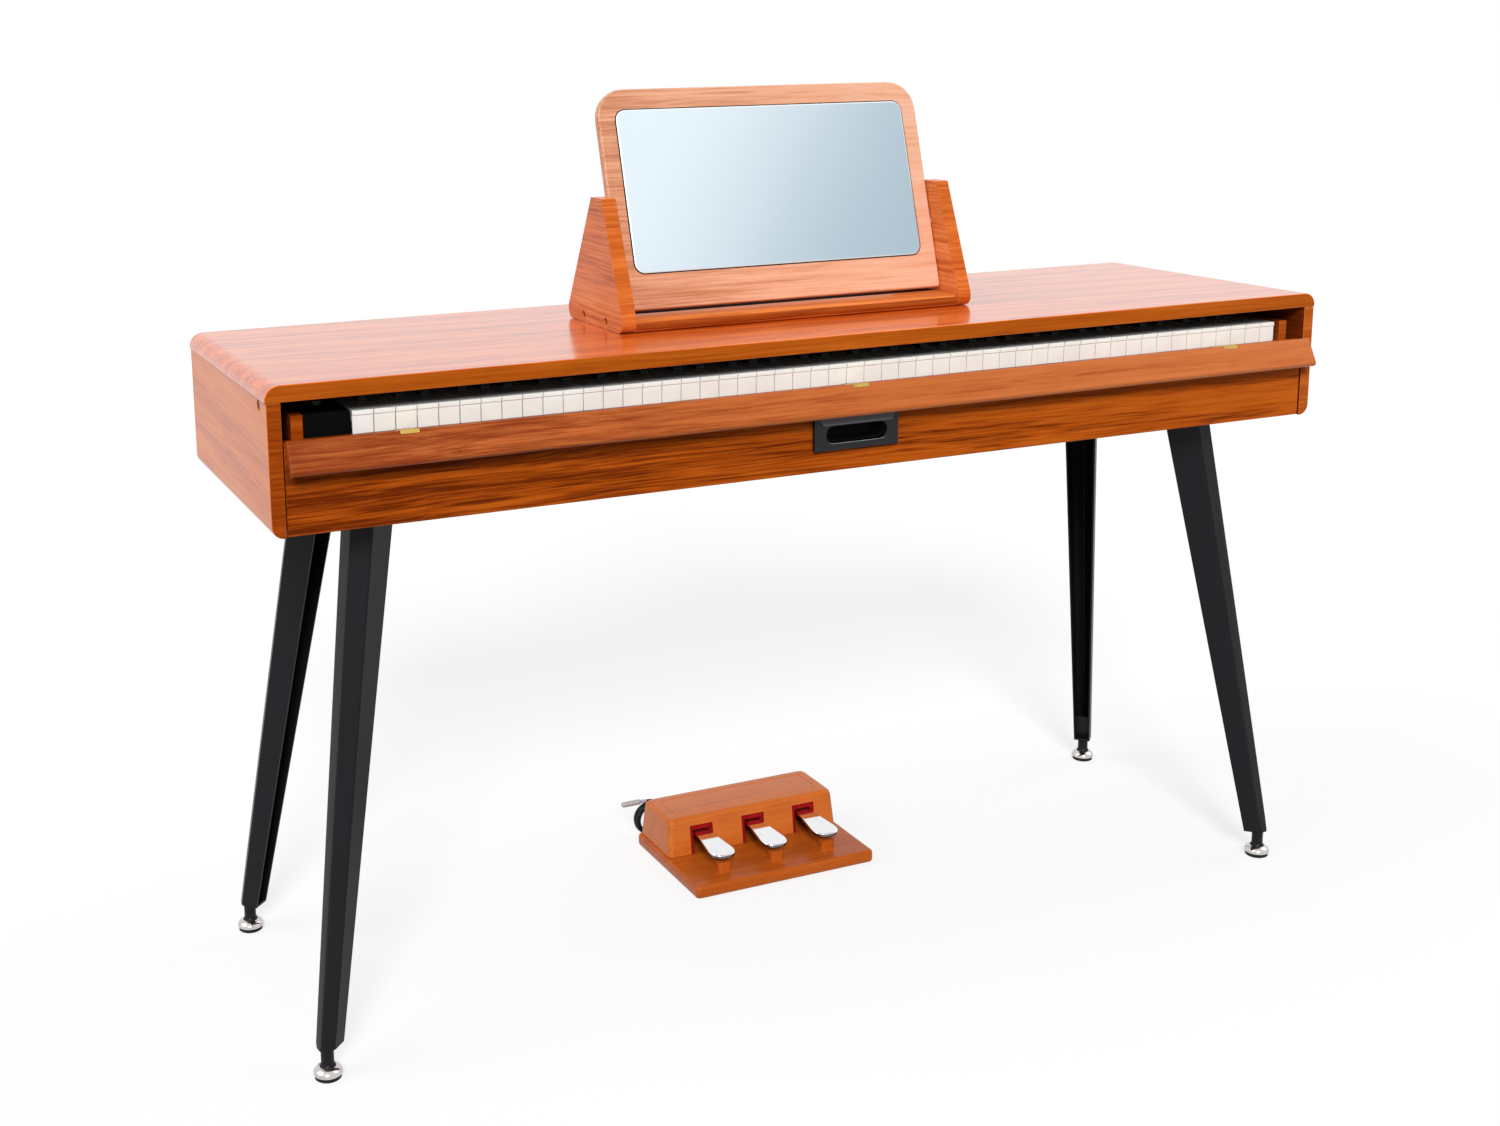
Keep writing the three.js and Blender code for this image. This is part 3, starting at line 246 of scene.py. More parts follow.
class Group:
    """A shader node group with named inputs and outputs."""

    def __init__(self, name: str, inputs: dict[str, float | Place],
                 outputs: dict[str, str]) -> None:
        """Makes the empty group.

        Args:
            name: the group's name.
            inputs: each input's name and its first value, a number or a vector.
            outputs: each output's name and its kind, Float, Color or Vector.
        """
        self.tree = bpy.data.node_groups.new(name, "ShaderNodeTree")
        for key, value in inputs.items():
            kind = "NodeSocketVector" if isinstance(value, tuple) else "NodeSocketFloat"
            socket = self.tree.interface.new_socket(key, in_out="INPUT", socket_type=kind)
            socket.default_value = value
        for key, kind in outputs.items():
            self.tree.interface.new_socket(key, in_out="OUTPUT", socket_type="NodeSocket" + kind)
        self.sheet = NodeSheet(self.tree)
        self.given = self.tree.nodes.new("NodeGroupInput").outputs
        self.result = self.tree.nodes.new("NodeGroupOutput").inputs

    def put(self, name: str, socket: Socket) -> None:
        """Joins a socket to the group's output of that name."""
        self.tree.links.new(socket, self.result[name])


def veneer_group() -> Group:
    """Wood grain that runs along X of its coordinates: bands, rings, streaks and pores."""
    group = Group(
        "veneer_grain",
        {"Vector": (0.0, 0.0, 0.0), "Rings": 0.35, "Streaks": 0.9},
        {"Shade": "Float", "Fibre": "Float", "Height": "Float"},
    )
    sheet, vector = group.sheet, group.given["Vector"]
    wander = sheet.noise(sheet.stretched(vector, (2.2, 8.0, 8.0)), 1.0, 2.0)
    shift = sheet.add("CombineXYZ", {
        1: sheet.between(wander, -0.012, 0.012),
        2: sheet.between(wander, 0.012, -0.012),
    }).outputs[0]
    bent = sheet.add("VectorMath", {0: vector, 1: shift}, operation="ADD").outputs[0]
    bands = sheet.noise(sheet.stretched(bent, (2.0, 70.0, 70.0)), 1.0, 3.0)
    wide = sheet.noise(sheet.stretched(bent, (8.0, 300.0, 300.0)), 1.0, 3.0)
    fine = sheet.noise(sheet.stretched(bent, (15.0, 760.0, 760.0)), 1.0, 3.0)
    streaks = sheet.between(sheet.shared(wide, 0.6, fine), 0.0, 1.0, 0.32, 0.68)
    fibre = sheet.noise(sheet.stretched(bent, (34.0, 1300.0, 1300.0)), 1.0, 2.0)
    pores = sheet.between(fibre, 0.0, 1.0, 0.30, 0.44)
    rings = sheet.add("TexWave", {
        "Vector": sheet.stretched(bent, (0.8, 13.0, 13.0)), "Scale": 1.0, "Distortion": 9.0,
        "Detail": 2.0, "Detail Scale": 0.8,
    }, bands_direction="DIAGONAL").outputs["Fac"]
    ringed = sheet.sum("MULTIPLY", sheet.sum("SUBTRACT", rings, 0.5), group.given["Rings"])
    streaked = sheet.sum("MULTIPLY", sheet.sum("SUBTRACT", streaks, 0.5), group.given["Streaks"])
    shade = sheet.sum("ADD", sheet.between(bands, 0.2, 0.8), ringed)
    shade = sheet.sum("ADD", shade, streaked)
    group.put("Shade", sheet.sum("ADD", shade, sheet.between(pores, -0.12, 0.0)))
    group.put("Fibre", fibre)
    group.put("Height", sheet.shared(pores, 0.7, streaks))
    return group


def wear_group() -> Group:
    """Lighter edges, partly from rubbing and partly painted edge highlights: the piece's own
    marked edge values, broken up by noise.
    """
    group = Group("edge_wear", {"Vector": (0.0, 0.0, 0.0), "Amount": 0.5}, {"Mask": "Float"})
    sheet = group.sheet
    edge = sheet.add("Attribute", attribute_name="edge_wear").outputs["Fac"]
    broken = sheet.between(sheet.noise(group.given["Vector"], 45.0), 0.0, 1.0, 0.35, 0.7)
    group.put("Mask", sheet.sum(
        "MULTIPLY", sheet.sum("MULTIPLY", edge, broken), group.given["Amount"]))
    return group


def handling_group() -> Group:
    """Soft smudges and a trace of dust, for the roughness of any finish."""
    group = Group(
        "handling_marks",
        {"Vector": (0.0, 0.0, 0.0), "Low": 0.2, "High": 0.3},
        {"Roughness": "Float"},
    )
    sheet = group.sheet
    smudges = sheet.noise(group.given["Vector"], 14.0)
    specks = sheet.noise(group.given["Vector"], 260.0, 2.0)
    both = sheet.shared(smudges, 0.7, specks)
    span = sheet.sum("SUBTRACT", group.given["High"], group.given["Low"])
    group.put("Roughness", sheet.sum(
        "ADD", group.given["Low"], sheet.sum("MULTIPLY", both, span)))
    return group


def pebble_group() -> Group:
    """The fine pebbled skin of moulded plastic, paint and rubber."""
    group = Group(
        "pebbled_skin", {"Vector": (0.0, 0.0, 0.0), "Scale": 900.0}, {"Height": "Float"})
    sheet = group.sheet
    cells = sheet.add("TexVoronoi", {
        "Vector": group.given["Vector"], "Scale": group.given["Scale"],
    }, feature="SMOOTH_F1").outputs["Distance"]
    waves = sheet.noise(group.given["Vector"], 120.0, 2.0)
    group.put("Height", sheet.sum("ADD", cells, waves))
    return group


GROUPS: dict[str, Group] = {}


def group_node(sheet: NodeSheet, name: str, **inputs) -> bpy.types.Node:
    """Places one of the shared groups in a tree.

    Args:
        sheet: the tree to place it in.
        name: the group's key in GROUPS.
        inputs: its inputs, values or sockets.

    Returns:
        The group node.
    """
    if not GROUPS:
        GROUPS.update(
            veneer=veneer_group(), wear=wear_group(), handling=handling_group(),
            pebble=pebble_group())
    return sheet.add("Group", inputs, node_tree=GROUPS[name].tree)


# Finishes


def shaded(colour: Colour, factor: float) -> Colour:
    """A colour times a factor, at most 1 in each part."""
    return tuple(min(1.0, part * factor) for part in colour)


@dataclass(frozen=True)
class Finish:
    """What every finish has: its name, a slot name that nothing here reads, and how its material
    is made.
    """

    name: str
    slot: str

    def material(self) -> bpy.types.Material:
        """The finish's material, made once."""
        ready = bpy.data.materials.get(self.name)
        if ready is not None:
            return ready
        made = bpy.data.materials.new(self.name)
        sheet = emptied(made)
        shader = sheet.add("BsdfPrincipled")
        sheet.add("OutputMaterial", {0: shader.outputs[0]})
        self.dress(sheet, shader, sheet.add("TexCoord").outputs["Object"])
        return made

    def dress(self, sheet: NodeSheet, shader: bpy.types.Node, vector: Socket) -> None:
        """Adds this finish's nodes.

        Args:
            sheet: the material's tree.
            shader: its Principled BSDF.
            vector: Object coordinates.
        """
        raise NotImplementedError

    @staticmethod
    def bump(sheet: NodeSheet, height: Socket, strength: float, distance: float) -> Socket:
        """A normal bent by a height.

        Args:
            sheet: the material's tree.
            height: the height's socket.
            strength: the bump's strength.
            distance: the bump's depth in millimetres.

        Returns:
            The normal's socket.
        """
        return sheet.add("Bump", {
            "Height": height, "Strength": strength, "Distance": mm(distance)}).outputs[0]

    @staticmethod
    def smudged(sheet: NodeSheet, vector: Socket, low: float, high: float) -> Socket:
        """A roughness that smudges and dust vary between two values.

        Args:
            sheet: the material's tree.
            vector: Object coordinates.
            low: the lowest roughness.
            high: the highest.

        Returns:
            The roughness's socket.
        """
        return group_node(sheet, "handling", Vector=vector, Low=low, High=high).outputs[0]

    @staticmethod
    def worn_and_highlit(sheet: NodeSheet, vector: Socket, amount: float, colour: Socket,
             edge_colour: Colour) -> Socket:
        """A colour with its edges lightened, partly from rubbing and partly as a painted
        highlight.

        Args:
            sheet: the material's tree.
            vector: Object coordinates.
            amount: how much the edges are rubbed.
            colour: the colour's socket.
            edge_colour: the colour of an edge, from rubbing and a painted highlight.

        Returns:
            The colour's socket.
        """
        mask = group_node(sheet, "wear", Vector=vector, Amount=amount).outputs[0]
        return sheet.blend(mask, colour, edge_colour)


@dataclass(frozen=True)
class Wood(Finish):
    """Lacquered veneer with its grain along one axis, taken from its own part of the log, and
    painted light that makes it darker to the left and lighter to the right.
    """

    grain: Axis = Axis.ACROSS
    log_place: Place = (0.0, 0.0, 0.0)
    dark: Colour = (0.150, 0.022, 0.002)
    middle: Colour = (0.400, 0.078, 0.006)
    light: Colour = (0.560, 0.140, 0.016)
    gloss: tuple[float, float] = (0.30, 0.42)
    rings: float = 0.35
    streaks: float = 0.9
    lacquer: float = 1.0
    lacquer_roughness: float = 0.16
    specular: float = 0.2
    painted_light: float = 0.0
    painted_light_reach: float = 0.66

    def dress(self, sheet: NodeSheet, shader: bpy.types.Node, vector: Socket) -> None:
        """Adds the grain, the painted light across X, the lacquer's gloss at low angles and the
        edges' rubbing and painted highlights.
        """
        turns = {
            Axis.ACROSS: (0.0, 0.0, 0.0),
            Axis.DEEP: (0.0, 0.0, math.pi / 2),
            Axis.UPRIGHT: (0.0, math.pi / 2, 0.0),
        }
        mapped = sheet.add("Mapping", {
            "Vector": vector, "Location": self.log_place, "Rotation": turns[self.grain],
        }).outputs[0]
        grain = group_node(
            sheet, "veneer", Vector=mapped, Rings=self.rings, Streaks=self.streaks)
        # Painted light: the shade goes from darker at -X to lighter at +X, as if lit from the
        # right.
        along = sheet.add("SeparateXYZ", {0: vector}).outputs[0]
        painted_light_shift = sheet.between(
            along, -self.painted_light, self.painted_light, -self.painted_light_reach, self.painted_light_reach)
        colour = sheet.ramp(sheet.sum("ADD", grain.outputs["Shade"], painted_light_shift), (
            (0.05, self.dark), (0.50, self.middle), (0.95, self.light)))
        fibres = sheet.between(grain.outputs["Fibre"], -0.04, 0.05)
        slant = sheet.add("LayerWeight", {"Blend": 0.5}).outputs["Facing"]
        sheet.feed(shader, {
            "Base Color": self.worn_and_highlit(sheet, vector, 0.25, colour, shaded(self.light, 1.1)),
            "Roughness": sheet.sum("ADD", self.smudged(sheet, vector, *self.gloss), fibres),
            "Coat Weight": sheet.between(slant, 0.0, self.lacquer, 0.25, 0.75),
            "Coat Roughness": self.lacquer_roughness,
            "Specular IOR Level": self.specular,
            "Normal": self.bump(sheet, grain.outputs["Height"], 0.2, 0.10),
        })


@dataclass(frozen=True)
class Plastic(Finish):
    """Moulded plastic or paint: a plain colour that varies a little, with a pebbled skin."""

    colour: Colour = (0.02, 0.02, 0.02)
    edge: Colour = (0.05, 0.05, 0.05)
    roughness: tuple[float, float] = (0.4, 0.55)
    skin: float = 900.0
    skin_depth: float = 0.04
    coat: float = 0.0
    shine: float = 0.2

    def dress(self, sheet: NodeSheet, shader: bpy.types.Node, vector: Socket) -> None:
        """Adds the skin, the smudges and the lighter edges, which are partly rubbing and partly
        painted highlights.
        """
        colour = sheet.blend(
            sheet.noise(vector, 30.0), shaded(self.colour, 0.88), shaded(self.colour, 1.08))
        skin = group_node(sheet, "pebble", Vector=vector, Scale=self.skin).outputs[0]
        sheet.feed(shader, {
            "Base Color": self.worn_and_highlit(sheet, vector, 0.6, colour, self.edge),
            "Roughness": self.smudged(sheet, vector, *self.roughness),
            "Specular IOR Level": self.shine,
            "Coat Weight": self.coat,
            "Coat Roughness": 0.12,
            "Normal": self.bump(sheet, skin, 0.3, self.skin_depth),
        })


@dataclass(frozen=True)
class Metal(Finish):
    """Metal, brushed along one axis or polished, a little duller where it is handled."""

    colour: Colour = (0.8, 0.8, 0.82)
    tarnish: Colour = (0.5, 0.5, 0.52)
    roughness: tuple[float, float] = (0.1, 0.2)
    brush: Place = (40.0, 900.0, 900.0)
    depth: float = 0.01

    def dress(self, sheet: NodeSheet, shader: bpy.types.Node, vector: Socket) -> None:
        """Adds the brush lines, tarnish, smudges and brighter edges, which are partly rubbing and
        partly painted highlights.
        """
        lines = sheet.noise(sheet.stretched(vector, self.brush), 1.0)
        dulled = sheet.between(sheet.noise(vector, 55.0), 0.0, 0.5, 0.55, 0.8)
        colour = sheet.blend(dulled, self.colour, self.tarnish)
        sheet.feed(shader, {
            "Base Color": self.worn_and_highlit(sheet, vector, 0.4, colour, shaded(self.colour, 1.15)),
            "Metallic": 1.0,
            "Roughness": self.smudged(sheet, vector, *self.roughness),
            "Normal": self.bump(sheet, lines, 0.25, self.depth),
        })


@dataclass(frozen=True)
class Silvering(Finish):
    """Silvered glass with a painted reflection: pale at the upper left and deepening to blue grey
    at the lower right.
    """

    # near and far are the painted reflection's pale and deep colours.
    near: Colour = (0.83, 0.93, 0.995)
    far: Colour = (0.44, 0.555, 0.635)
    middle_high: float = 0.915
    slope: float = 0.7
    reach: float = 0.23

    def dress(self, sheet: NodeSheet, shader: bpy.types.Node, vector: Socket) -> None:
        """Adds the painted reflection's gradient, faint ripples and a few smudges."""
        parts = sheet.add("SeparateXYZ", {0: vector}).outputs
        drop = sheet.sum("SUBTRACT", parts[2], self.middle_high)
        slant = sheet.sum("SUBTRACT", parts[0], sheet.sum("MULTIPLY", drop, self.slope))
        share = sheet.add("MapRange", {"Value": slant, 1: -self.reach, 2: self.reach},
                          interpolation_type="SMOOTHSTEP").outputs[0]
        clouds = sheet.between(sheet.noise(vector, 5.0, 2.0), -0.06, 0.06)
        sheet.feed(shader, {
            "Base Color": sheet.blend(sheet.sum("ADD", share, clouds), self.near, self.far),
            "Metallic": 1.0,
            "Roughness": self.smudged(sheet, vector, 0.02, 0.07),
            "Normal": self.bump(sheet, sheet.noise(vector, 9.0, 1.0), 0.05, 0.05),
        })


@dataclass(frozen=True)
class Felt(Finish):
    """Pressed felt: a fuzzy skin with a sheen."""

    colour: Colour = (0.26, 0.003, 0.004)
    sheen: float = 0.05

    def dress(self, sheet: NodeSheet, shader: bpy.types.Node, vector: Socket) -> None:
        """Adds the fuzz and its shades."""
        fuzz = sheet.noise(vector, 1400.0, 4.0)
        both = sheet.shared(fuzz, 0.6, sheet.noise(vector, 90.0))
        sheet.feed(shader, {
            "Base Color": sheet.blend(both, shaded(self.colour, 0.45), shaded(self.colour, 1.35)),
            "Roughness": 0.95,
            "Sheen Weight": self.sheen,
            "Specular IOR Level": 0.05,
            "Normal": self.bump(sheet, fuzz, 0.7, 0.35),
        })


DESK_TOP = Wood("desk_top_veneer", "desktop_wood", log_place=(0.3, 0.05, 0.1),
                dark=(0.37, 0.042, 0.002), middle=(0.64, 0.106, 0.006),
                light=(0.80, 0.200, 0.026), rings=0.3, streaks=1.1)
# Painted shade: a near-black copy of the veneer for the top's underside, which darkens the gap
# above the keys.
UNDER_BOARD_SHADE = Wood("desk_underside_painted_shade", "desktop_wood", log_place=(0.8, 1.3, 2.2),
                   dark=(0.012, 0.004, 0.002), middle=(0.024, 0.009, 0.005),
                   light=(0.040, 0.016, 0.009), streaks=0.5, lacquer=0.1, specular=0.03)
# Painted shade: a darker copy of the top's veneer for its faces that look front and back.
DESK_EDGE = Wood("desk_edge_shaded_veneer", "desktop_wood", log_place=(1.1, 1.9, 0.5),
                 dark=(0.27, 0.050, 0.002), middle=(0.420, 0.086, 0.004),
                 light=(0.53, 0.125, 0.011), rings=0.15, streaks=0.6, lacquer=0.3,
                 specular=0.06)
FRONT_WOOD = Wood("front_veneer", "case_wood", log_place=(0.9, 0.42, 0.21),
                  dark=(0.135, 0.018, 0.0007), middle=(0.385, 0.069, 0.0034),
                  light=(0.50, 0.106, 0.007), rings=0.2, streaks=1.1,
                  lacquer=0.2, specular=0.04, painted_light=0.26)
# Painted shade: a darker copy of the side veneer for the faces that look front and back, with its
# grain across.
EDGE_WOOD = Wood("side_edge_shaded_veneer", "case_wood", log_place=(2.7, 0.12, 1.31),
                 dark=(0.20, 0.028, 0.0008), middle=(0.37, 0.066, 0.004),
                 light=(0.56, 0.140, 0.018), rings=0.1, streaks=0.6,
                 lacquer=0.5, specular=0.04, painted_light=0.16)
SIDE_WOOD = Wood("side_veneer", "case_wood", Axis.DEEP, (0.2, 1.1, 0.7),
                 dark=(0.46, 0.080, 0.006), middle=(0.66, 0.145, 0.014),
                 light=(0.76, 0.205, 0.030), rings=0.3, streaks=0.75,
                 lacquer=0.42, lacquer_roughness=0.25, specular=0.12)
FLAP_WOOD = Wood("flap_veneer", "case_wood", log_place=(1.7, 0.31, 0.83),
                 dark=(0.21, 0.030, 0.002), middle=(0.44, 0.108, 0.023),
                 light=(0.505, 0.142, 0.039), rings=0.15, streaks=0.6,
                 lacquer=0.25, specular=0.14, painted_light=0.34)
STAND_WOOD = Wood("bracket_veneer", "case_wood", Axis.DEEP, (0.6, 0.2, 1.4),
                  dark=(0.36, 0.070, 0.010), middle=(0.60, 0.155, 0.036),
                  light=(0.72, 0.24, 0.075), rings=0.2, streaks=0.9,
                  lacquer=0.3, lacquer_roughness=0.25, specular=0.12)
# Painted shade: a darker copy of the bracket veneer for the faces that look front and back.
BRACKET_EDGE = Wood("bracket_edge_shaded_veneer", "case_wood", log_place=(1.9, 0.9, 0.3),
                    dark=(0.36, 0.060, 0.005), middle=(0.54, 0.118, 0.016),
                    light=(0.66, 0.18, 0.036), rings=0.15, streaks=0.8, lacquer=0.4,
                    specular=0.1)
# The mirror board's pale pinkish colour is partly its own and partly painted sheen.
BOARD_WOOD = Wood("mirror_board_veneer_and_painted_sheen", "case_wood", log_place=(2.3, 0.7, 0.4),
                  dark=(0.44, 0.160, 0.072), middle=(0.71, 0.345, 0.208),
                  light=(0.76, 0.445, 0.315), rings=0.1, streaks=0.6, lacquer=0.5, painted_light=0.2,
                  painted_light_reach=0.22)
# Painted light: a lighter copy of the base's veneer for its top and nose, as a highlight.
BASE_LIT_WOOD = Wood("stand_base_painted_light_veneer", "case_wood", log_place=(0.7, 1.7, 0.6),
                 dark=(0.38, 0.080, 0.010), middle=(0.62, 0.165, 0.032),
                 light=(0.74, 0.230, 0.060), rings=0.2, streaks=0.7, lacquer=0.15,
                 specular=0.05)
# Painted shade: a darker copy of the base's veneer for its front.
BASE_SHADED_FRONT = Wood("stand_base_front_painted_shade", "case_wood", log_place=(0.7, 1.7, 0.6),
                  dark=(0.17, 0.026, 0.002), middle=(0.29, 0.052, 0.005),
                  light=(0.42, 0.098, 0.015), rings=0.2, streaks=0.7, lacquer=0.3,
                  specular=0.1)
PEDAL_WOOD = Wood("pedal_unit_veneer", "case_wood", log_place=(3.1, 1.2, 0.9),
                  dark=(0.40, 0.076, 0.008), middle=(0.54, 0.130, 0.018),
                  light=(0.62, 0.17, 0.030), rings=0.1, streaks=0.3,
                  lacquer=0.4, lacquer_roughness=0.25)
# Painted shade: a darker copy of the side veneer for inner faces and the drawer's cheeks.
SHADED_WOOD = Wood("inner_side_shaded_veneer", "case_wood", Axis.DEEP, (0.4, 2.1, 1.7),
                   dark=(0.10, 0.014, 0.001), middle=(0.19, 0.030, 0.002),
                   light=(0.27, 0.050, 0.004), rings=0.15, streaks=0.6,
                   lacquer=0.2, specular=0.05)
PEDAL_BASE_WOOD = Wood("pedal_base_veneer", "case_wood", log_place=(2.6, 0.4, 1.9),
                       dark=(0.31, 0.055, 0.004), middle=(0.435, 0.088, 0.008),
                       light=(0.53, 0.125, 0.016), rings=0.15, streaks=0.5,
                       lacquer=0.4, lacquer_roughness=0.25, specular=0.12)
INNER_WOOD = Wood("inner_board_veneer", "case_wood", Axis.DEEP, (1.3, 0.5, 2.0),
                  gloss=(0.42, 0.55), lacquer=0.3, streaks=0.6)
END_BLOCK = Plastic("end_block_plastic", "black_plastic", (0.003, 0.003, 0.0033),
                    (0.012, 0.012, 0.012), (0.5, 0.65), shine=0.03)
SOCKET_BLACK = Plastic("socket_plastic", "black_plastic", (0.010, 0.010, 0.010),
                       (0.04, 0.04, 0.04), (0.35, 0.5))
BLACK_KEY = Plastic("black_key_plastic_matt", "black_key_plastic", (0.006, 0.006, 0.0065),
                    (0.03, 0.03, 0.03), (0.28, 0.42), 1500.0, 0.02)
WHITE_KEY = Plastic("white_key_plastic_gloss", "white_key_plastic", (0.965, 0.925, 0.870),
                    (0.97, 0.93, 0.88), (0.14, 0.24), 600.0, 0.006, 0.3, 0.4)
CHARCOAL = Plastic("charcoal_plastic_satin", "charcoal_plastic", (0.010, 0.010, 0.012),
                   (0.075, 0.070, 0.074), (0.26, 0.4), 1100.0, 0.02, shine=0.25)
# Painted light: a lighter charcoal for the hood's sloping face, which the light falls on.
CHARCOAL_LIT_HOOD = Plastic("charcoal_hood_painted_light", "charcoal_plastic", (0.098, 0.092, 0.097),
                        (0.18, 0.17, 0.175), (0.26, 0.4), 1100.0, 0.02, shine=0.3)
# Painted shade: a black strip that darkens the gap under the mirror board's foot.
GAP_SHADE_STRIP = Felt("mirror_gap_painted_shade", "cord_rubber", (0.004, 0.003, 0.003), 0.0)
# Painted shade: a near-black charcoal for the pull's hollow.
CUP_PAINTED_SHADE = Plastic("pull_cup_black", "charcoal_plastic", (0.0022, 0.0022, 0.0024),
                    (0.006, 0.006, 0.006), (0.45, 0.6), shine=0.04)
# Painted highlight: a pale charcoal for the lower lip of the pull's mouth.
CHARCOAL_LIP_HIGHLIGHT = Plastic("charcoal_lip_painted_highlight", "charcoal_plastic", (0.56, 0.54, 0.55),
                       (0.66, 0.64, 0.65), (0.2, 0.3), 1100.0, 0.01, shine=0.5)
GREY_PLUG = Plastic("grey_plug_plastic", "grey_plastic", (0.40, 0.36, 0.37),
                    (0.55, 0.5, 0.51), (0.35, 0.5), shine=0.35)
LEG_PAINT = Plastic("leg_paint_satin", "leg_paint", (0.0060, 0.0058, 0.0075),
                    (0.04, 0.039, 0.044), (0.33, 0.46), 500.0, 0.03, shine=0.16)
RUBBER = Plastic("foot_rubber", "cord_rubber", (0.012, 0.012, 0.012),
                 (0.04, 0.04, 0.04), (0.6, 0.8), 1300.0, 0.05)
CORD_RUBBER = Plastic("cord_rubber_smooth", "cord_rubber", (0.010, 0.010, 0.0105),
                      (0.04, 0.04, 0.04), (0.42, 0.55), 1800.0, 0.02)
CHROME = Metal("bright_chrome_plate", "bright_chrome", (0.86, 0.86, 0.875),
               (0.70, 0.69, 0.70), (0.03, 0.10), (200.0, 200.0, 200.0), 0.002)
FOOT_CHROME = Metal("foot_chrome_plate", "bright_chrome", (0.60, 0.58, 0.57),
                    (0.42, 0.40, 0.39), (0.10, 0.20), (200.0, 200.0, 200.0), 0.002)
# Painted reflection: dark chrome for the pedals' rims.
CHROME_RIM_DARK_REFLECTION = Metal("pedal_rim_painted_reflection", "bright_chrome", (0.17, 0.16, 0.165),
                   (0.10, 0.10, 0.10), (0.04, 0.12), (200.0, 200.0, 200.0), 0.002)
ZINC = Metal("zinc_slide_steel", "slide_steel", (0.55, 0.555, 0.57),
             (0.33, 0.33, 0.35), (0.25, 0.45), (900.0, 25.0, 900.0), 0.01)
SCREW_STEEL = Metal("screw_steel", "slide_steel", (0.48, 0.46, 0.45),
                    (0.25, 0.24, 0.24), (0.25, 0.4), (700.0, 700.0, 700.0), 0.01)
DARK_STEEL = Metal("dark_stem_steel", "slide_steel", (0.10, 0.10, 0.105),
                   (0.05, 0.05, 0.055), (0.3, 0.5), (700.0, 700.0, 700.0), 0.01)
BRASS = Metal("hinge_brass_plate", "hinge_brass", (0.56, 0.38, 0.10),
              (0.24, 0.14, 0.04), (0.24, 0.40), (600.0, 60.0, 600.0), 0.01)
# The mirror's blue grey gradient is a painted reflection.
MIRROR = Silvering("silvered_glass_painted_reflection", "silvered_glass")
GLASS_EDGE = Metal("polished_glass_edge", "silvered_glass", (0.66, 0.68, 0.70),
                   (0.58, 0.60, 0.63), (0.50, 0.60), (90.0, 90.0, 90.0), 0.002)
RED_FELT = Felt("red_felt", "case_wood")


# Modelling


def linked(name: str, data: bpy.types.ID) -> Piece:
    """A new object with this data, in the scene."""
    piece = bpy.data.objects.new(name, data)
    bpy.context.scene.collection.objects.link(piece)
    return piece


def only(piece: Piece) -> None:
    """Makes a piece the only selected one, and the active one."""
    bpy.ops.object.select_all(action="DESELECT")
    piece.select_set(True)
    bpy.context.view_layer.objects.active = piece


def apply(piece: Piece, kind: str, **settings) -> None:
    """Adds a modifier and applies it.

    Args:
        piece: the piece.
        kind: the modifier's type.
        settings: its properties.
    """
    only(piece)
    modifier = piece.modifiers.new(kind.lower(), kind)
    for key, value in settings.items():
        setattr(modifier, key, value)
    bpy.ops.object.modifier_apply(modifier=modifier.name)


def place(piece: Piece, matrix: Matrix) -> Piece:
    """Moves a piece's mesh by a matrix and leaves its object at the origin.

    Args:
        piece: the piece.
        matrix: where it goes.

    Returns:
        The piece.
    """
    piece.matrix_world = matrix
    only(piece)
    bpy.ops.object.transform_apply(location=True, rotation=True, scale=True)
    return piece


def named(piece: Piece, name: str) -> Piece:
    """Names a piece and its mesh."""
    piece.name = name
    piece.data.name = name
    return piece


def twin(piece: Piece, name: str, matrix: Matrix) -> Piece:
    """A copy of a piece with its own mesh, moved by a matrix.

    Args:
        piece: the pattern.
        name: the copy's name.
        matrix: where the copy goes.

    Returns:
        The copy.
    """
    copy = piece.copy()
    copy.data = piece.data.copy()
    bpy.context.scene.collection.objects.link(copy)
    place(named(copy, name), matrix)
    if matrix.determinant() < 0:
        with Bench(copy) as bench:
            bench.outward()
    return copy


def joined(pieces: list[Piece], name: str) -> Piece:
    """Several pieces made one.

    Args:
        pieces: the pieces, which keep their material slots.
        name: the one piece's name.

    Returns:
        The one piece.
    """
    only(pieces[0])
    for piece in pieces:
        piece.select_set(True)
    if len(pieces) > 1:
        bpy.ops.object.join()
    return named(pieces[0], name)


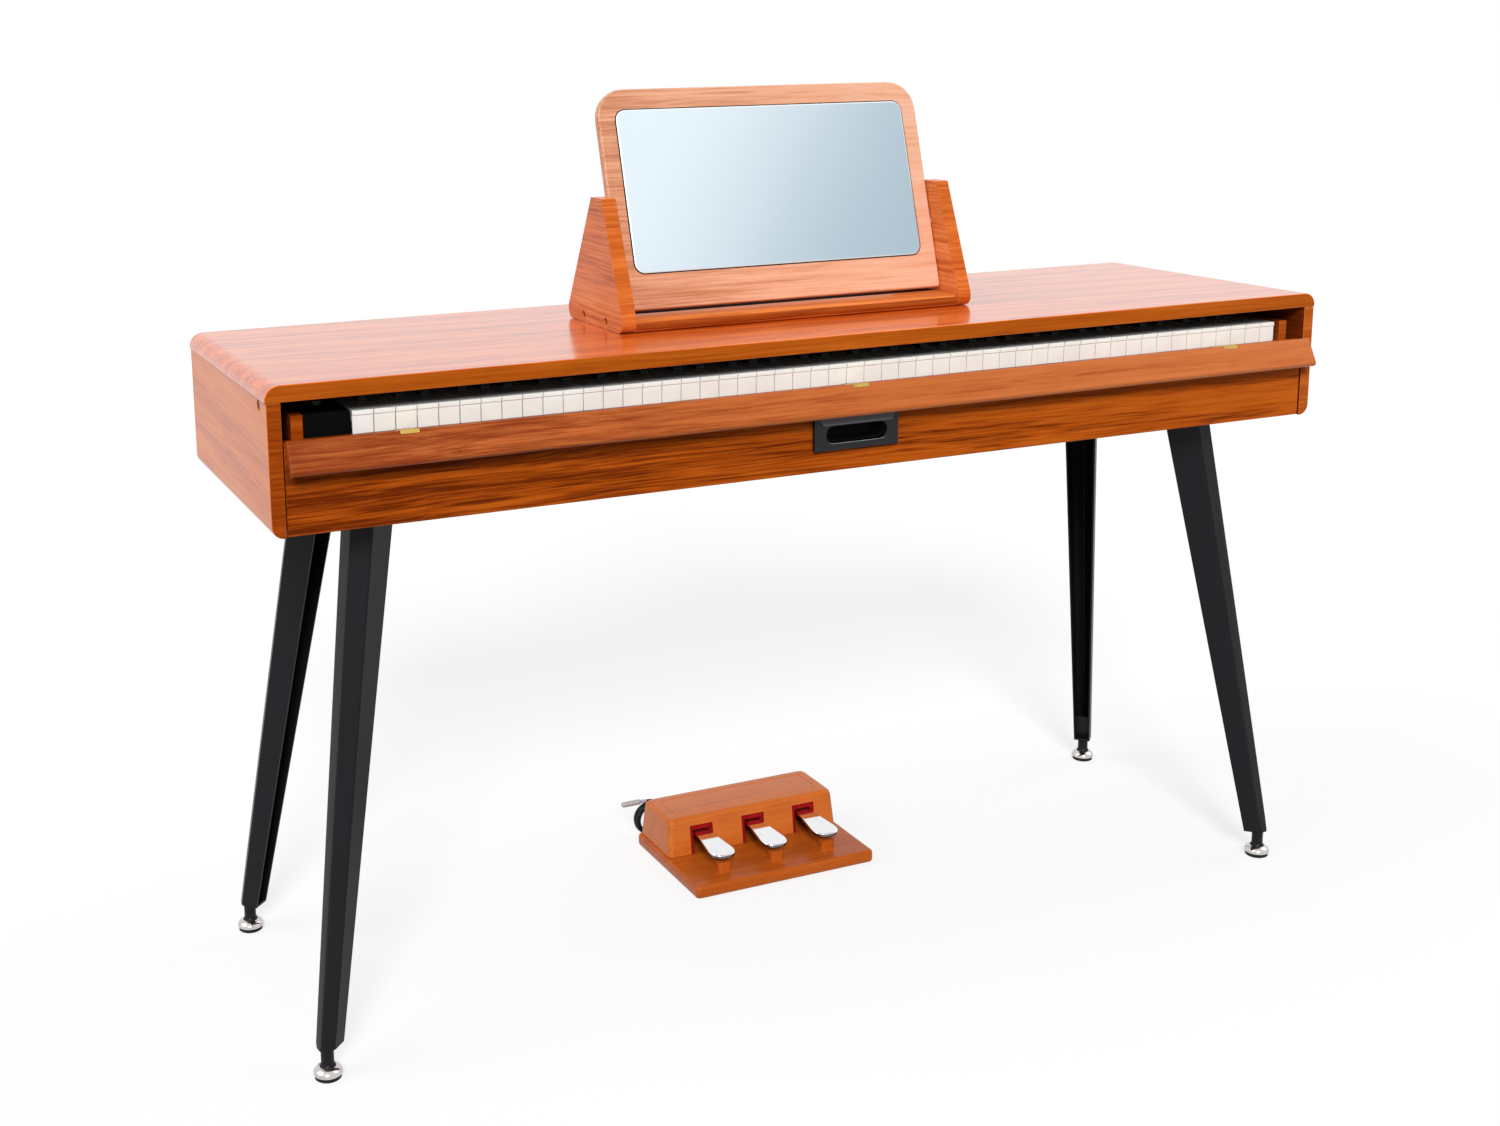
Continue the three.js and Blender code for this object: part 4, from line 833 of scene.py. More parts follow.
class Bench:
    """One piece in edit mode, with its faces and edges picked by their place."""

    def __init__(self, piece: Piece) -> None:
        """Keeps the piece."""
        self.piece = piece

    def __enter__(self) -> "Bench":
        """Opens the piece with nothing picked."""
        only(self.piece)
        bpy.ops.object.mode_set(mode="EDIT")
        bpy.ops.mesh.select_mode(type="FACE")
        bpy.ops.mesh.select_all(action="DESELECT")
        return self

    def __exit__(self, *_: object) -> None:
        """Goes back to object mode."""
        bpy.ops.object.mode_set(mode="OBJECT")

    def everything(self) -> None:
        """Picks the whole mesh."""
        bpy.ops.mesh.select_all(action="SELECT")

    def pick(self, kind: str, test: Callable[[Part], bool]) -> None:
        """Picks points, edges or faces.

        Args:
            kind: VERT, EDGE or FACE.
            test: says yes or no to one of them.
        """
        bpy.ops.mesh.select_mode(type=kind)
        bpy.ops.mesh.select_all(action="DESELECT")
        mesh = bmesh.from_edit_mesh(self.piece.data)
        for part in {"VERT": mesh.verts, "EDGE": mesh.edges, "FACE": mesh.faces}[kind]:
            if test(part):
                part.select_set(True)
        bmesh.update_edit_mesh(self.piece.data)

    def faces(self, test: Callable[[Vector, Vector], bool]) -> None:
        """Picks the faces whose middle and normal pass a test."""
        self.pick("FACE", lambda face: test(face.calc_center_median(), face.normal))

    def edges(self, test: Callable[[Vector, Vector, float, bool], bool]) -> None:
        """Picks edges between two faces.

        Args:
            test: says yes or no to an edge's middle, its run from end to end, the angle
                between its faces and whether it stands out.
        """
        def fits(edge: bmesh.types.BMEdge) -> bool:
            """Whether an edge has two faces and passes the test."""
            first, second = (vertex.co for vertex in edge.verts)
            return len(edge.link_faces) == 2 and test(
                (first + second) / 2, second - first, edge.calc_face_angle(0.0),
                edge.is_convex)

        self.pick("EDGE", fits)

    def points(self, test: Callable[[Vector], bool]) -> None:
        """Picks the points whose place passes a test."""
        self.pick("VERT", lambda vertex: test(vertex.co))

    def bevel(self, width: float, segments: int = 3) -> None:
        """Bevels the picked edges by a width in millimetres."""
        bpy.ops.mesh.bevel(offset=mm(width), segments=segments, affect="EDGES")

    def inset(self, width: float, depth: float = 0.0) -> None:
        """Insets the picked faces, by a width and a depth in millimetres."""
        bpy.ops.mesh.inset(thickness=mm(width), depth=mm(depth))

    def extrude(self, x: float, y: float, z: float) -> None:
        """Extrudes the picked faces by a move in millimetres."""
        bpy.ops.mesh.extrude_region_move(TRANSFORM_OT_translate={"value": at(x, y, z)})

    def slide(self, x: float, y: float, z: float) -> None:
        """Moves what is picked, by a move in millimetres."""
        bpy.ops.transform.translate(value=at(x, y, z))

    def resize(self, x: float, y: float, z: float, centre: Vector) -> None:
        """Scales what is picked by three factors about a point in metres."""
        bpy.ops.transform.resize(value=(x, y, z), center_override=centre)

    def split(self, point: Vector, normal: Place) -> None:
        """Cuts the whole mesh along a plane."""
        self.everything()
        bpy.ops.mesh.bisect(plane_co=point, plane_no=normal)

    def outward(self) -> None:
        """Merges doubles and turns all faces outwards."""
        self.everything()
        bpy.ops.mesh.remove_doubles(threshold=mm(0.002))
        bpy.ops.mesh.normals_make_consistent(inside=False)


def mark_wear(piece: Piece, width: float) -> None:
    """Gives narrow faces, which are bevels, the value 1 in the attribute that marks their rubbing
    and painted edge highlights.

    Args:
        piece: the piece.
        width: faces up to this many millimetres wide count.
    """
    attribute = piece.data.attributes.get("edge_wear") or piece.data.attributes.new(
        "edge_wear", "FLOAT", "FACE")
    values = []
    for polygon in piece.data.polygons:
        corners = [piece.data.vertices[index].co for index in polygon.vertices]
        rim = sum((corners[index] - corners[index - 1]).length for index in range(len(corners)))
        values.append(1.0 if polygon.area < mm(width) * rim / 2 else 0.0)
    attribute.data.foreach_set("value", values)


def finished(piece: Piece, edge: float, segments: int = 3, angle: float = 38.0) -> Piece:
    """Bevels a piece's edges, smooths it and marks its edges for rubbing and painted highlights.

    Args:
        piece: the piece.
        edge: the bevel's width in millimetres, or 0 for none.
        segments: the bevel's segments.
        angle: edges sharper than this many degrees are bevelled.

    Returns:
        The piece.
    """
    if edge > 0:
        apply(piece, "BEVEL", width=mm(edge), segments=segments, limit_method="ANGLE",
              angle_limit=math.radians(angle), use_clamp_overlap=True)
    only(piece)
    bpy.ops.object.shade_smooth_by_angle(angle=math.radians(angle))
    apply(piece, "WEIGHTED_NORMAL", keep_sharp=True)
    mark_wear(piece, max(edge, 0.3) * 1.05)
    return piece


def copy_of(node: str, name: str) -> Piece:
    """A new piece with a frame node's shape, merged and with its flat faces whole.

    Args:
        node: the node's name.
        name: the new piece's name.

    Returns:
        The new piece.
    """
    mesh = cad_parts[node].data.copy()
    mesh.materials.clear()
    mesh.name = name
    piece = linked(name, mesh)
    only(piece)
    if mesh.has_custom_normals:
        bpy.ops.mesh.customdata_custom_splitnormals_clear()
    with Bench(piece) as bench:
        bench.everything()
        bpy.ops.mesh.remove_doubles(threshold=mm(0.01))
        bpy.ops.mesh.dissolve_limited(angle_limit=math.radians(0.4))
    return piece


def box(name: str, low: Place, high: Place) -> Piece:
    """A cube primitive between two corners in millimetres, to be shaped further.

    Args:
        name: its name.
        low: the lowest corner.
        high: the highest corner.

    Returns:
        The new piece.
    """
    bpy.ops.object.select_all(action="DESELECT")
    middle = [(a + b) / 2 for a, b in zip(low, high)]
    bpy.ops.mesh.primitive_cube_add(size=1.0, location=at(*middle), scale=at(
        *(b - a for a, b in zip(low, high))))
    piece = named(bpy.context.active_object, name)
    return place(piece, piece.matrix_world.copy())


def rounded_box(name: str, low: Place, high: Place, axis: Axis, radius: float,
                segments: int = 5) -> Piece:
    """A box whose four edges along one axis are rounded.

    Args:
        name: its name.
        low: the lowest corner in millimetres.
        high: the highest corner in millimetres.
        axis: the edges' direction.
        radius: the rounding in millimetres.
        segments: segments to each corner.

    Returns:
        The new piece.
    """
    piece = box(name, low, high)
    with Bench(piece) as bench:
        bench.edges(lambda _, run, __, ___: abs(run[axis.value]) > 0.99 * run.length)
        bench.bevel(radius, segments)
    return piece


def combine(piece: Piece, operation: str, *tools: Piece) -> None:
    """Applies tools to a piece with the exact Boolean solver and removes them.

    Args:
        piece: the piece.
        operation: DIFFERENCE or UNION.
        tools: the pieces that are taken out of it or added to it.
    """
    for tool in tools:
        apply(piece, "BOOLEAN", operation=operation, object=tool, solver="EXACT")
        bpy.data.objects.remove(tool)


def cut_out(piece: Piece, *cutters: Piece) -> None:
    """Takes cutters out of a piece and removes them."""
    combine(piece, "DIFFERENCE", *cutters)


def rod(name: str, radius: float, start: Place, length: float, axis: Axis,
        sides: int = 32) -> Piece:
    """A cylinder primitive along an axis, to be shaped further.

    Args:
        name: its name.
        radius: in millimetres.
        start: the middle of its lower end, in millimetres.
        length: in millimetres.
        axis: its direction.
        sides: its sides.

    Returns:
        The new piece.
    """
    bpy.ops.object.select_all(action="DESELECT")
    turn = {Axis.ACROSS: (0, math.pi / 2, 0), Axis.DEEP: (math.pi / 2, 0, 0),
            Axis.UPRIGHT: (0, 0, 0)}[axis]
    middle = list(start)
    middle[axis.value] += length / 2
    bpy.ops.mesh.primitive_cylinder_add(
        vertices=sides, radius=mm(radius), depth=mm(length), location=at(*middle),
        rotation=turn)
    piece = named(bpy.context.active_object, name)
    return place(piece, piece.matrix_world.copy())


def cut_pockets(board: Piece, face: float, sign: int, spots: Sequence[tuple[float, float]],
                radius: float, depth: float) -> None:
    """Cuts round pockets into a board's outer side.

    Args:
        board: the board.
        face: the side's place along X, in millimetres.
        sign: -1 for a left side, 1 for a right one.
        spots: the pockets' middles along Y and Z, in millimetres.
        radius: their radius.
        depth: their depth.
    """
    start = face - depth if sign > 0 else face - 1
    cut_out(board, *[rod("pocket", radius, (start, y, z), depth + 1, Axis.ACROSS, 40)
                     for y, z in spots])


def spun(name: str, profile: Sequence[tuple[float, float]], sides: int = 32) -> Piece:
    """A turned piece about Z: a line of points is extruded and spun round.

    Args:
        name: its name.
        profile: (radius, height) points in millimetres that start and end on the axis.
        sides: steps of the turn.

    Returns:
        The new piece, standing at the origin.
    """
    bpy.ops.object.select_all(action="DESELECT")
    bpy.ops.mesh.primitive_plane_add(size=mm(1.0))
    piece = named(bpy.context.active_object, name)
    with Bench(piece) as bench:
        bench.everything()
        bpy.ops.mesh.merge(type="CENTER")
        bpy.ops.mesh.select_mode(type="VERT")
        bench.everything()
        bench.slide(profile[0][0], 0, profile[0][1])
        for before, after in zip(profile, profile[1:]):
            bpy.ops.mesh.extrude_vertices_move(TRANSFORM_OT_translate={
                "value": at(after[0] - before[0], 0, after[1] - before[1])})
        bench.everything()
        bpy.ops.mesh.spin(steps=sides, angle=2 * math.pi, center=(0, 0, 0), axis=(0, 0, 1))
        bench.outward()
    return piece


def toward(axis: Axis, positive: bool = True) -> Matrix:
    """The turn that takes +Z to an axis.

    Args:
        axis: the wanted axis.
        positive: whether it points along that axis or against it.

    Returns:
        The turn.
    """
    target = Vector((0, 0, 0))
    target[axis.value] = 1.0 if positive else -1.0
    return Vector((0, 0, 1)).rotation_difference(target).to_matrix().to_4x4()


def moved(x: float, y: float, z: float) -> Matrix:
    """The move to a point in millimetres."""
    return Matrix.Translation(at(x, y, z))


def upright_over(node: str, height: float = 0.0) -> Matrix:
    """The move to a node's middle, at a height in millimetres."""
    middle = (extent(node)[0] + extent(node)[1]) / 2
    return moved(middle.x, middle.y, height)


def dress(piece: Piece, finish: Finish, body: str, *nodes: str) -> Piece:
    """Gives a piece its finish, its body and the nodes that it stands for.

    Args:
        piece: the piece, in place.
        finish: its finish.
        body: the body that it rides on.
        nodes: the frame nodes that it replaces.

    Returns:
        The piece.
    """
    piece.data.materials.clear()
    piece.data.materials.append(finish.material())
    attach(piece, body)
    if nodes:
        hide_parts(*nodes)
    log.info("made %s on %s", piece.name, body)
    return piece


def add_screws(name: str, radius: float, height: float, places: list[Matrix], finish: Finish,
               body: str) -> None:
    """Adds pan heads with a cross in them as one piece.

    Args:
        name: the piece's name.
        radius: a head's radius in millimetres.
        height: its height in millimetres.
        places: where each head goes, from Z upright at the origin.
        finish: their finish.
        body: the body that they ride on.
    """
    pattern = spun("screw_pattern", [
        (0, -height), (radius * 0.5, -height), (radius * 0.55, 0), (radius, 0),
        (radius, height * 0.35), (radius * 0.8, height * 0.8), (radius * 0.4, height),
        (0, height),
    ], 20)
    arm, slit = radius * 0.62, radius * 0.14
    for x, y in ((arm, slit), (slit, arm)):
        cut_out(pattern, box("cross", (-x, -y, height * 0.45), (x, y, height * 2)))
    only(pattern)
    bpy.ops.object.shade_smooth_by_angle(angle=math.radians(40))
    piece = joined([twin(pattern, f"{name}_{index}", matrix)
                    for index, matrix in enumerate(places)], name)
    bpy.data.objects.remove(pattern)
    mark_wear(piece, 0.3)
    dress(piece, finish, body)


# The studio


@dataclass(frozen=True)
class Lamp:
    """A soft sun lamp: where it stands, its strength and its width in degrees."""

    name: str
    toward: Place
    strength: float
    softness: float

    def add(self) -> None:
        """Adds the lamp."""
        data = bpy.data.lights.new(self.name, "SUN")
        data.energy = self.strength
        data.angle = math.radians(self.softness)
        lamp = linked(self.name, data)
        lamp.rotation_euler = Vector(self.toward).to_track_quat("Z", "Y").to_euler()


@dataclass(frozen=True)
class Studio:
    """The camera, the lamps, the white world and the pale floor."""

    eye: Place = (-1072.83, -1932.45, 1095.71)
    yaw: float = 0.401957
    pitch: float = -0.195297
    roll: float = -0.016108
    focal_pixels: float = 1821.94
    picture_width: float = 1500.0
    shift: tuple[float, float] = (0.10755, -0.11046)
    sensor: float = 36.0
    far_clip: float = 60.0
    lamps: tuple[Lamp, ...] = (
        Lamp("front_lamp", (-0.32, -0.75, 0.52), 2.78, 17),
        Lamp("left_lamp", (-0.75, 0.05, 0.66), 1.05, 45),
        Lamp("right_lamp", (0.72, -0.12, 0.68), 0.45, 40),
    )
    world_light: float = 0.36
    floor_size: float = 40.0
    floor_paper: Colour = (0.26, 0.26, 0.264)
    floor_glow: float = 0.715

    def add_camera(self) -> None:
        """Adds the camera at the photograph's place and angle."""
        data = bpy.data.cameras.new("camera")
        data.sensor_fit = "HORIZONTAL"
        data.sensor_width = self.sensor
        data.lens = self.focal_pixels / self.picture_width * self.sensor
        data.shift_x, data.shift_y = self.shift
        data.clip_end = self.far_clip
        camera = linked("camera", data)
        ahead = Vector((
            math.sin(self.yaw) * math.cos(self.pitch),
            math.cos(self.yaw) * math.cos(self.pitch),
            math.sin(self.pitch),
        ))
        right = Vector((math.cos(self.yaw), -math.sin(self.yaw), 0))
        up = right.cross(ahead)
        turned_right = math.cos(self.roll) * right + math.sin(self.roll) * up
        turned_up = math.cos(self.roll) * up - math.sin(self.roll) * right
        matrix = Matrix((turned_right, turned_up, -ahead)).transposed().to_4x4()
        matrix.translation = at(*self.eye)
        camera.matrix_world = matrix
        bpy.context.scene.camera = camera

    def add_world(self) -> None:
        """Adds a world that is white where it is seen and plain grey where it lights."""
        world = bpy.data.worlds.new("studio")
        bpy.context.scene.world = world
        sheet = emptied(world)
        white = (1, 1, 1, 1)
        lighting = sheet.add("Background", {"Color": white, "Strength": self.world_light})
        shown = sheet.add("Background", {"Color": white, "Strength": 1.0})
        mix = sheet.add("MixShader", {
            0: self.seen(sheet), 1: lighting.outputs[0], 2: shown.outputs[0]})
        sheet.add("OutputWorld", {0: mix.outputs[0]})

    @staticmethod
    def seen(sheet: NodeSheet) -> Socket:
        """Where the camera, a reflection or glass looks: 1, and otherwise 0."""
        path = sheet.add("LightPath").outputs
        both = sheet.sum("MAXIMUM", path["Is Camera Ray"], path["Is Glossy Ray"])
        return sheet.sum("MAXIMUM", both, path["Is Transmission Ray"])

    def add_floor(self) -> None:
        """Adds the pale floor, which keeps the object's shadow."""
        bpy.ops.object.select_all(action="DESELECT")
        bpy.ops.mesh.primitive_plane_add(size=self.floor_size, location=(0, 0, 0))
        floor = named(bpy.context.active_object, "studio_floor")
        material = bpy.data.materials.new("studio_floor_paper")
        sheet = emptied(material)
        paper = sheet.add("BsdfDiffuse", {"Color": (*self.floor_paper, 1)})
        glow = sheet.add("Emission", {
            "Color": (1, 1, 1, 1),
            "Strength": sheet.sum("MULTIPLY", self.seen(sheet), self.floor_glow)})
        both = sheet.add("AddShader", {0: paper.outputs[0], 1: glow.outputs[0]})
        sheet.add("OutputMaterial", {0: both.outputs[0]})
        floor.data.materials.append(material)

    def build(self) -> None:
        """Sets up the whole studio."""
        self.add_camera()
        self.add_world()
        for lamp in self.lamps:
            lamp.add()
        self.add_floor()
        bpy.context.scene.view_settings.view_transform = "Standard"
        log.info("made the studio")


# The pedal unit's cord


def curve_point(route: Sequence[Vector], place: float) -> Vector:
    """A point of the centripetal Catmull-Rom curve through a route.

    Args:
        route: the points that the curve runs through.
        place: how many of its spans from its start.

    Returns:
        The point.
    """
    index = min(math.floor(place), len(route) - 2)
    padded = [2 * route[0] - route[1], *route, 2 * route[-1] - route[-2]]
    before, start, end, after = padded[index:index + 4]
    near, here, far = (math.sqrt((b - a).length) for a, b in (
        (before, start), (start, end), (end, after)))
    along = (end - start) / here
    leave = here * ((start - before) / near - (end - before) / (near + here) + along)
    arrive = here * (along - (after - start) / (here + far) + (after - end) / far)
    share = place - index
    square = 3 * (end - start) - 2 * leave - arrive
    cube = 2 * (start - end) + leave + arrive
    return start + share * (leave + share * (square + share * cube))


def even_points(route: Sequence[Vector], steps: int, fine: int = 200) -> list[Vector]:
    """Points at even distances on the curve through a route.

    Args:
        route: the points that the curve runs through.
        steps: the steps from its start to its end.
        fine: the chords that its length is measured with.

    Returns:
        The points, one more than the steps.
    """
    spans = len(route) - 1
    spots = [curve_point(route, spans * index / fine) for index in range(fine + 1)]
    lengths = [0.0]
    for before, after in zip(spots, spots[1:]):
        lengths.append(lengths[-1] + (after - before).length)
    points = []
    for step in range(steps + 1):
        wanted = lengths[-1] * step / steps
        chord = min(bisect_right(lengths, wanted), fine) - 1
        share = (wanted - lengths[chord]) / (lengths[chord + 1] - lengths[chord])
        points.append(curve_point(route, spans * (chord + share) / fine))
    return points


@dataclass(frozen=True)
class PedalCord:
    """The lead by its given route, the coil behind the box, the gland and the plug."""

    into_frame_y: float = -182.65064
    radius: float = 1.5
    coil_x: float = -70.0
    coil_y: float = 408.0
    coil_outer: float = 24.0
    coil_pitch: float = 3.6
    layer_pitch: float = 3.7
    turns: float = 8.25
    layers: int = 4
    rest_share: float = 0.375
    steps: int = 24
    body: str = "cabinet"
    lead: tuple[Place, ...] = (
        (-12.0, 394.75, 30.0), (-12.0, 398.75, 30.0), (-12.5, 406.5, 27.0),
        (-13.0, 409.5, 20.0), (-14.5, 410.0, 11.0), (-19.0, 409.5, 3.8), (-27.0, 409.0, 1.9),
        (-35.0, 408.5, 1.9), (-42.5, 408.0, 5.0),
    )
    lead_drops: tuple[float, ...] = (8.0, 4.0, 0.3)
    lead_steps: int = 22
    lead_digits: int = 2
    plug: Profile = (
        (0, 0), (2.0, 0), (2.15, 1.2), (1.9, 1.5), (1.9, 2.4), (2.3, 2.8), (2.3, 4.0),
        (2.0, 4.4), (2.0, 5.2), (2.6, 5.7), (2.7, 7.4), (2.3, 7.8), (2.5, 8.8), (3.5, 10.6),
        (3.8, 12.0), (3.8, 17.0), (3.55, 17.4), (3.55, 18.4), (3.8, 18.8), (3.8, 33.0),
        (3.5, 35.6), (2.7, 37.2), (0, 37.6),
    )
    gland_end: Profile = (
        (4, -3), (5.5, -3), (6, -2.4), (6, -0.8), (5.2, 0), (3.6, 0), (3.3, 0.9), (2.7, 1.1),
        (2.7, 1.9), (3.1, 2.2), (3.0, 3.0), (2.5, 3.2), (2.5, 4.0), (2.8, 4.3), (2.6, 5.1),
        (1.9, 5.6), (0, 5.6),
    )

    def coil_point(self, turn: float) -> Place:
        """A point of the coil, which spirals in and out again, layer by layer.

        Args:
            turn: how many turns from its start.

        Returns:
            The point in millimetres, before the move into the frame.
        """
        per_layer = self.turns / self.layers
        layer = min(math.floor(turn / per_layer), self.layers - 1)
        within = turn - layer * per_layer
        inward = within if layer % 2 == 0 else per_layer - within
        radius = self.coil_outer - self.coil_pitch * inward
        change = math.floor(turn / per_layer + 0.5)
        near = turn - change * per_layer
        climbs = 0 < change < self.layers and abs(near) < 0.25
        height = change - 0.5 + near * 2 if climbs else layer
        angle = math.pi / 2 - 2 * math.pi * (self.turns - turn)
        middle = self.coil_outer - self.coil_pitch * self.rest_share + self.radius
        return (
            self.coil_x + radius * math.cos(angle),
            self.coil_y + self.layer_pitch * height,
            middle + radius * math.sin(angle),
        )

    def route(self) -> list[Vector]:
        """The whole centreline in metres, from the gland to the plug."""
        count = round(self.turns * self.steps)
        coil = [self.coil_point(step / self.steps) for step in range(count + 1)]
        first = (coil[0][0], coil[0][1], coil[0][2] - 2 * self.radius)
        last = (coil[-1][0] - 2 * self.radius, coil[-1][1], coil[-1][2])
        route = [*self.lead, *((first[0], first[1], first[2] - drop) for drop in self.lead_drops)]
        lead = even_points([Vector(spot) for spot in route], self.lead_steps)[:-1]
        rounded = [[round(part, self.lead_digits) for part in spot] for spot in lead]
        line = [*rounded, first, *coil, last]
        return [at(x, y + self.into_frame_y, z) for x, y, z in line]

    def add_curve(self, line: list[Vector]) -> Piece:
        """Adds the cord as one open spline.

        Args:
            line: the centreline.

        Returns:
            The curve's object.
        """
        curve = bpy.data.curves.new("pedal_cord", "CURVE")
        curve.dimensions = "3D"
        curve.bevel_depth = mm(self.radius)
        curve.bevel_resolution = 3
        curve.use_fill_caps = True
        curve.resolution_u = 3
        spline = curve.splines.new("BEZIER")
        spline.bezier_points.add(len(line) - 1)
        for point, spot in zip(spline.bezier_points, line):
            point.co = spot
            point.handle_left_type = point.handle_right_type = "AUTO"
        return linked("pedal_cord", curve)

    def build(self) -> None:
        """Builds the cord with its gland and plug."""
        line = self.route()
        cord = self.add_curve(line)
        low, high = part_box("pedal_cord_plug")
        middle = (low + high) / 2
        plug = place(spun("pedal_plug", self.plug, 28), Matrix.Translation(
            (high.x, middle.y, middle.z)) @ toward(Axis.ACROSS, False))
        dress(finished(plug, 0.0), GREY_PLUG, self.body, "pedal_cord_plug")
        low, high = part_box("pedal_cord_gland")
        middle = (low + high) / 2
        reach = (high.y - low.y) * 1000
        profile = [(0, 0), (4, 0), *((radius, reach + past) for radius, past in self.gland_end)]
        gland = place(spun("pedal_cord_gland_sleeve", profile, 28), Matrix.Translation(
            (middle.x, low.y, middle.z)) @ toward(Axis.DEEP))
        dress(finished(gland, 0.0), CORD_RUBBER, self.body, "pedal_cord_gland")
        dress(cord, CORD_RUBBER, self.body, "pedal_cord_lead", "pedal_cord_coil")


# The cabinet


@dataclass(frozen=True)
class Board:
    """One board: the node that it replaces, its finish, its edges and its body."""

    node: str
    name: str
    finish: Finish
    edge: float = 0.9
    body: str = "cabinet"
    front_finish: Finish | None = None
    inner_finish: Finish | None = None
    inner_sign: int = 1
    under_finish: Finish | None = None
    facing: float = 0.72

    def build(self) -> Piece:
        """Builds the board as a bevelled copy of its node."""
        return self.dressed(finished(copy_of(self.node, self.name), self.edge))

    def dressed(self, piece: Piece) -> Piece:
        """Gives a finished piece the board's finish, and three kinds of its faces their own
        darker copies as painted shade: front and back, inner side and underside.

        Args:
            piece: the piece, in place.

        Returns:
            The piece.
        """
        dress(piece, self.finish, self.body, self.node)
        if self.front_finish is None:
            return piece
        for finish in (self.front_finish, self.inner_finish, self.under_finish):
            piece.data.materials.append((finish or self.finish).material())
        for polygon in piece.data.polygons:
            normal = polygon.normal
            if abs(normal.y) > self.facing:
                polygon.material_index = 1
            elif normal.x * self.inner_sign > self.facing:
                polygon.material_index = 2
            elif normal.z < -self.facing:
                polygon.material_index = 3
        return piece


